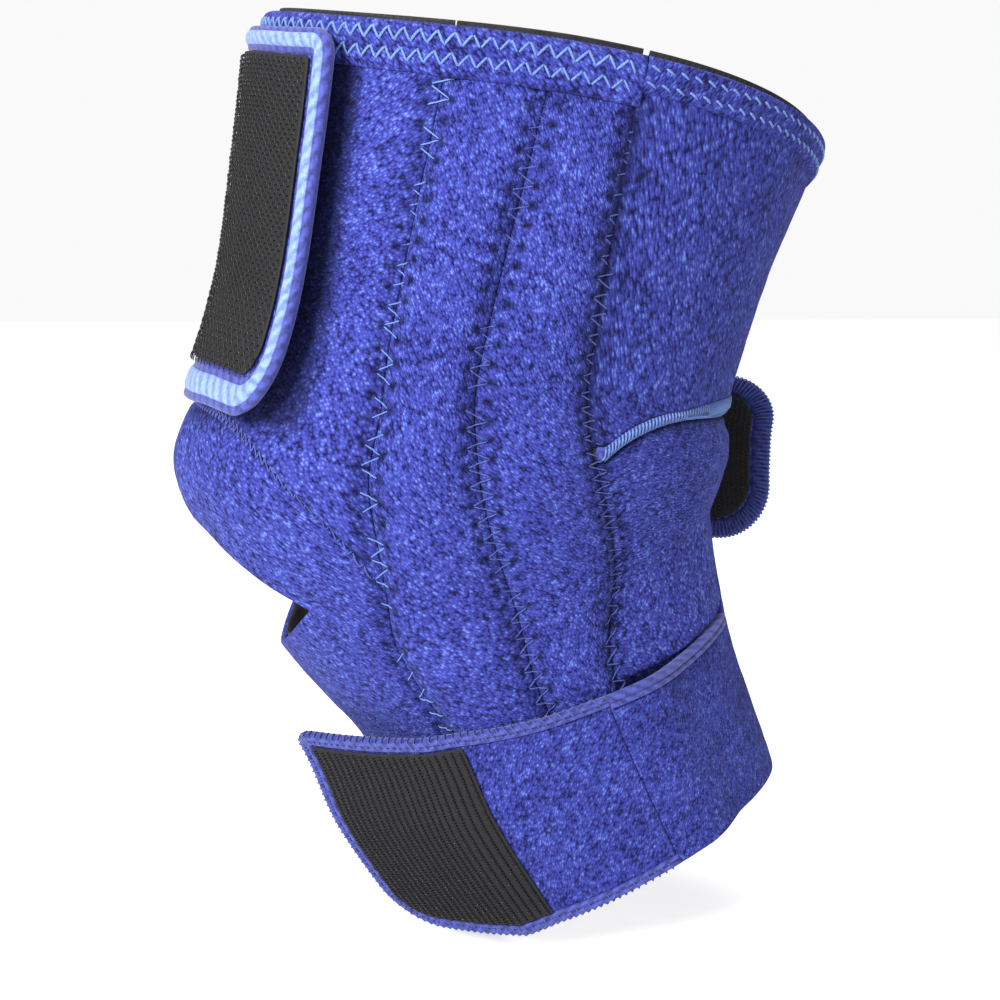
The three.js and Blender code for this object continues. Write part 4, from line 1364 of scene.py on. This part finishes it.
def make_upper_strap():
    def shade(b, level):
        # Painted shade in the groove along seam C and in its needle holes.
        edge = (b - along(SEAM_C, level)) / DEGREES_PER_MM
        groove = 0.85 * np.exp(-(edge / 1.1) ** 2)
        return np.maximum(groove, zigzag_dips(b, level, SEAM_C, 0.7))

    low = float(upper_strap_bottom(along(SEAM_C, 129))) + SLIT_BAND
    high = float(rim(along(SEAM_C, 228)))
    back = strap_sheet(
        "upper_strap_back", lambda v: along(SEAM_C, lerp(low, high, v)) - 0.3,
        lambda v: np.asarray(v, float) * 0 + UPPER_MIDDLE,
        lambda b: upper_strap_bottom(b) + SLIT_BAND - 0.4, upper_strap_top, upper_lift, shade=shade,
    )
    hinge_low, hinge_high = float(upper_strap_bottom(UPPER_HINGE)), float(upper_strap_top(UPPER_HINGE))
    planes = forward_planes(UPPER_HINGE, hinge_low, hinge_high, upper_lift, STRAP_BEND)
    dress_bent(back, STRAP_PILE,
               ["upper_strap_rear", "upper_strap_front"])

    make_strap_rim()

    bearings = np.arange(float(along(SEAM_C, 127)) + 0.6, UPPER_MIDDLE, 0.8)
    path = np.stack([bearings, upper_strap_bottom(bearings), bearings * 0, bearings * 0 + 1], 1)

    def place(s, v, z):
        return skin(s, v, upper_lift(s) + z)

    band = sweep("slit_binding_tape", place, path, band_section(SLIT_BAND, 0.0, STRAP + 0.2))
    dress_bent(band, BLUE_TAPE, ["slit_binding"])
    edge = place(path[:, 0], path[:, 1], 0)
    run = np.concatenate([[0], np.cumsum(np.linalg.norm(np.diff(edge, axis=0), axis=1))])
    marks = np.arange(1.0, run[-1] - 1.5, 1.15)
    lines = []
    for mark in marks:
        q = np.array([0.1, -0.15, 0.15, 0.35, 0.7, 1.0]) * SLIT_BAND
        z = np.array([0.6, 1.6, STRAP + 0.25, STRAP + 0.65, STRAP + 0.6, STRAP + 0.1])
        here = np.interp(np.clip(mark + 0.9 * np.linspace(0, 1, 6), 0, run[-1]), run, path[:, 0])
        lines.append(place(here, upper_strap_bottom(here) + q, z))
    threads = tubes_object("slit_overlock_threads", lines, 0.3, 5)
    dress_bent(threads, PALE_THREAD)

    first = -(UPPER_TAB_HINGE + HINGE_GAP - UPPER_MIDDLE) / upper_tab.degrees_per_mm
    front = tab_sheet("upper_strap_front_cloth", upper_tab, first, 6.2, 0.0, STRAP)
    planes = blend_planes(UPPER_TAB_HINGE - 1, UPPER_TAB_HINGE + 12, 180, upper_lift)
    dress_bent(front, STRAP_PILE,
               ["upper_tab"])

    edge = tab_edge_path(upper_tab, first)
    band = sweep("upper_tab_edge_tape", upper_tab.place, edge, band_section(6.6, 0.0, STRAP + 0.1))
    dress_bent(band, BLUE_TAPE, ["upper_tab_binding"])
    rib = sweep("upper_tab_pale_rib", upper_tab.place, edge,
                [(1.5 + 3.6 * (0.5 - 0.5 * math.cos(t)), STRAP + 0.25 + 0.95 * max(math.sin(t), -0.35))
                 for t in np.linspace(0, 2 * math.pi, 18, endpoint=False)])
    dress_bent(rib, PALE_TAPE)

    tape = tab_sheet("upper_hook_tape", upper_tab, -4.0, 6.9, STRAP + HOOK_GAP, HOOK_TOP,
                     pitch=1.6, round_edge=0.35, drape_amount=0.1)
    dress_bent(tape, HOOK_BASE, ["upper_hook_patch"])
    spots = hook_spots(upper_tab, -4.0, 6.9, 6.9, 1.5, 2.3)
    hooks = hook_field("upper_hooks", upper_tab.place, spots, (1.5, -2.1), base=HOOK_TOP - 0.1)
    dress_bent(hooks, HOOKS)


def make_lower_strap():
    back = strap_sheet(
        "lower_strap_back", lambda v: np.asarray(v, float) * 0 + 159.0,
        lambda v: np.asarray(v, float) * 0 + LOWER_MIDDLE,
        lower_strap_bottom, lambda b: lower_strap_top(b) - EDGE_GAP - piping_width(b), lower_lift,
    )
    planes = blend_planes(LOWER_HINGE + 1, LOWER_HINGE - 14, 20, lower_lift)
    dress_bent(back, STRAP_PILE,
               ["lower_band_rear", "lower_strap_side"])

    bearings = np.arange(69.0, LOWER_MIDDLE, -0.9)
    path = np.stack([bearings, lower_strap_top(bearings) - EDGE_GAP, bearings * 0, bearings * 0 - 1], 1)

    def place(s, v, z):
        return skin(s, v, lower_lift(s) + z)

    section = band_section(PIPING, 0.0, STRAP + 0.1, ridges=((1.15, 1.0, 0.8), (3.2, 0.85, 0.6)), crown=0.1)
    piping = sweep("lower_strap_piping_cord", place, path, section)
    dress_bent(piping, BLUE_TAPE, ["lower_strap_piping"])

    first = -(LOWER_MIDDLE - (LOWER_TAB_HINGE - HINGE_GAP)) / lower_tab.degrees_per_mm
    front = tab_sheet("lower_strap_front_cloth", lower_tab, first, PIPING - 0.3, 0.0, STRAP)
    planes = blend_planes(LOWER_TAB_HINGE + 2, LOWER_TAB_HINGE - 10, 25, lower_lift)
    dress_bent(front, STRAP_PILE,
               ["lower_tab"])

    edge = tab_edge_path(lower_tab, first)
    band = sweep("lower_tab_piping_cord", lower_tab.place, edge, section)
    dress_bent(band, BLUE_TAPE, ["lower_tab_binding"])
    threads = overlock("lower_tab_overlock", lower_tab.place, edge, 3.4, STRAP + 0.5, pitch=2.0, slant=1.6)
    dress_bent(threads, BLUE_THREAD)

    tape = tab_sheet("lower_hook_tape", lower_tab, 1.0, PIPING + 0.2, STRAP + HOOK_GAP, HOOK_TOP,
                     pitch=1.6, round_edge=0.35, drape_amount=0.1)
    dress_bent(tape, HOOK_BASE, ["lower_hook_patch"])
    spots = hook_spots(lower_tab, 1.0, PIPING + 0.2, PIPING + 0.2, 2.1, 1.0)
    hooks = hook_field("lower_hooks", lower_tab.place, spots, (0.9, 0.5), base=HOOK_TOP - 0.1)
    dress_bent(hooks, HOOKS)


PIPING = 4.2


def piping_width(b):
    """The piping ends where the strap runs under the knee panel's lower edge."""
    return (PIPING - 0.2) * smoothstep(74 - np.asarray(b, float), 0, 6)


def make_knee_strap():
    cloth = tab_sheet("knee_strap_cloth", knee_strap, 0.0, 5.4, 0.0, STRAP)
    dress(cloth, STRAP_PILE, None, ["knee_strap"])
    start = tuple(float(x) for x in knee_strap.place(1.0, 27.0, 1.3) * MM)
    end = tuple(float(x) for x in knee_strap.place(12.0, 27.0, 1.3) * MM)
    edge = tab_edge_path(knee_strap, 0.0)
    band = sweep("knee_strap_edge_tape", knee_strap.place, edge, band_section(5.6, 0.0, STRAP))
    dress(band, BLUE_TAPE, None, ["knee_strap_binding"])
    threads = overlock("knee_strap_overlock", knee_strap.place, edge, 5.0, STRAP + 0.3, pitch=1.4)
    dress(threads, BLUE_THREAD)

    def inside_place(s, v, z):
        return knee_strap.place(s, v, -z)

    under = overlock("knee_strap_inner_overlock", inside_place, edge, 4.6, 0.35, pitch=1.4)
    dress(under, BLUE_THREAD)
    tape = tab_sheet("knee_strap_hook_tape", knee_strap, 12.0, 5.8, -HOOK_GAP - HOOK_TAPE, -HOOK_GAP,
                     pitch=1.6, round_edge=0.35, drape_amount=0.0)
    dress(tape, HOOK_BASE, None, ["knee_strap_hook_patch"])
    spots = hook_spots(knee_strap, 12.0, 5.8, 5.8, 1.6, 1.3)
    hooks = hook_field("knee_strap_hooks", inside_place, spots, (0.9, 0.4), base=HOOK_GAP + HOOK_TAPE - 0.1)
    dress(hooks, HOOKS)
    for piece in (cloth, band, threads, under, tape, hooks):
        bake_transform(piece)


make_upper_strap()
make_lower_strap()
make_knee_strap()

for name in ("lateral_gel_front", "lateral_gel_rear", "medial_gel_rear", "medial_gel_front"):
    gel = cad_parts[name]
    gel.data.materials.clear()
    gel.data.materials.append(GEL)

for name, (width, length, area) in flat_sizes.items():
    if "channel" in name or "hook_tape" in name:
        continue

# ---- stage ----

FLOOR_GLOW = 0.55
AIM = Vector((0.018, 0.0, 0.0))


def make_stage():
    mesh = bpy.data.meshes.new("floor")
    size = 6.0
    z = cad_box[0][2] - 0.001
    corners = [(-size, -size, z), (size, -size, z), (size, size, z), (-size, size, z)]
    mesh.from_pydata(corners, [], [(0, 1, 2, 3)])
    floor = bpy.data.objects.new("floor", mesh)
    bpy.context.scene.collection.objects.link(floor)
    material, tree, shader = new_material("pale_floor")
    shader.inputs["Base Color"].default_value = (0.86, 0.86, 0.87, 1)
    shader.inputs["Roughness"].default_value = 0.9
    shader.inputs["Emission Color"].default_value = (1, 1, 1, 1)
    seen = node(tree, "ShaderNodeLightPath").outputs["Is Camera Ray"]
    glow = node(tree, "ShaderNodeMath", {0: seen, 1: FLOOR_GLOW}, operation="MULTIPLY").outputs[0]
    tree.links.new(glow, shader.inputs["Emission Strength"])
    mesh.materials.append(material)


def area_light(name, place, size, power, colour=(1, 1, 1)):
    data = bpy.data.lights.new(name, "AREA")
    data.shape = "DISK"
    data.size = size
    data.energy = power
    data.color = colour
    light = bpy.data.objects.new(name, data)
    light.location = place
    light.rotation_euler = (AIM - Vector(place)).to_track_quat("-Z", "Y").to_euler()
    bpy.context.scene.collection.objects.link(light)


CAMERA_AZIMUTH = math.radians(-6)
CAMERA_ELEVATION = math.radians(8)
CAMERA_DISTANCE = 0.470
FRAME_WIDTH = 0.290
FRAME_SHIFT = 0.01798
SENSOR_WIDTH = 36


def make_camera():
    back = Vector((
        math.sin(CAMERA_AZIMUTH) * math.cos(CAMERA_ELEVATION),
        -math.cos(CAMERA_AZIMUTH) * math.cos(CAMERA_ELEVATION),
        math.sin(CAMERA_ELEVATION),
    ))
    right = Vector((math.cos(CAMERA_AZIMUTH), math.sin(CAMERA_AZIMUTH), 0))
    aim = right * FRAME_SHIFT
    data = bpy.data.cameras.new("camera")
    data.sensor_width = SENSOR_WIDTH
    data.lens = SENSOR_WIDTH * CAMERA_DISTANCE / FRAME_WIDTH
    data.clip_start = 0.01
    camera = bpy.data.objects.new("camera", data)
    camera.location = aim + back * CAMERA_DISTANCE
    camera.rotation_euler = back.to_track_quat("Z", "Y").to_euler()
    bpy.context.scene.collection.objects.link(camera)
    bpy.context.scene.camera = camera


make_stage()
area_light("key", (-0.80, -0.95, 0.55), 0.4, 22)
area_light("fill", (0.9, -0.9, 0.3), 1.2, 1.2)
area_light("top", (0.1, 0.2, 1.3), 1.0, 7)
WORLD_LIGHT = 0.5
WORLD_SEEN = 0.95
world = bpy.data.worlds.new("studio")
world.use_nodes = True
world.node_tree.nodes["Background"].inputs["Color"].default_value = (1, 1, 1, 1)
seen = world.node_tree.nodes.new("ShaderNodeLightPath").outputs["Is Camera Ray"]
strength = world.node_tree.nodes.new("ShaderNodeMapRange")
strength.inputs["To Min"].default_value = WORLD_LIGHT
strength.inputs["To Max"].default_value = WORLD_SEEN
world.node_tree.links.new(seen, strength.inputs["Value"])
world.node_tree.links.new(strength.outputs[0], world.node_tree.nodes["Background"].inputs["Strength"])
bpy.context.scene.world = world
bpy.context.scene.view_settings.view_transform = "Standard"
make_camera()
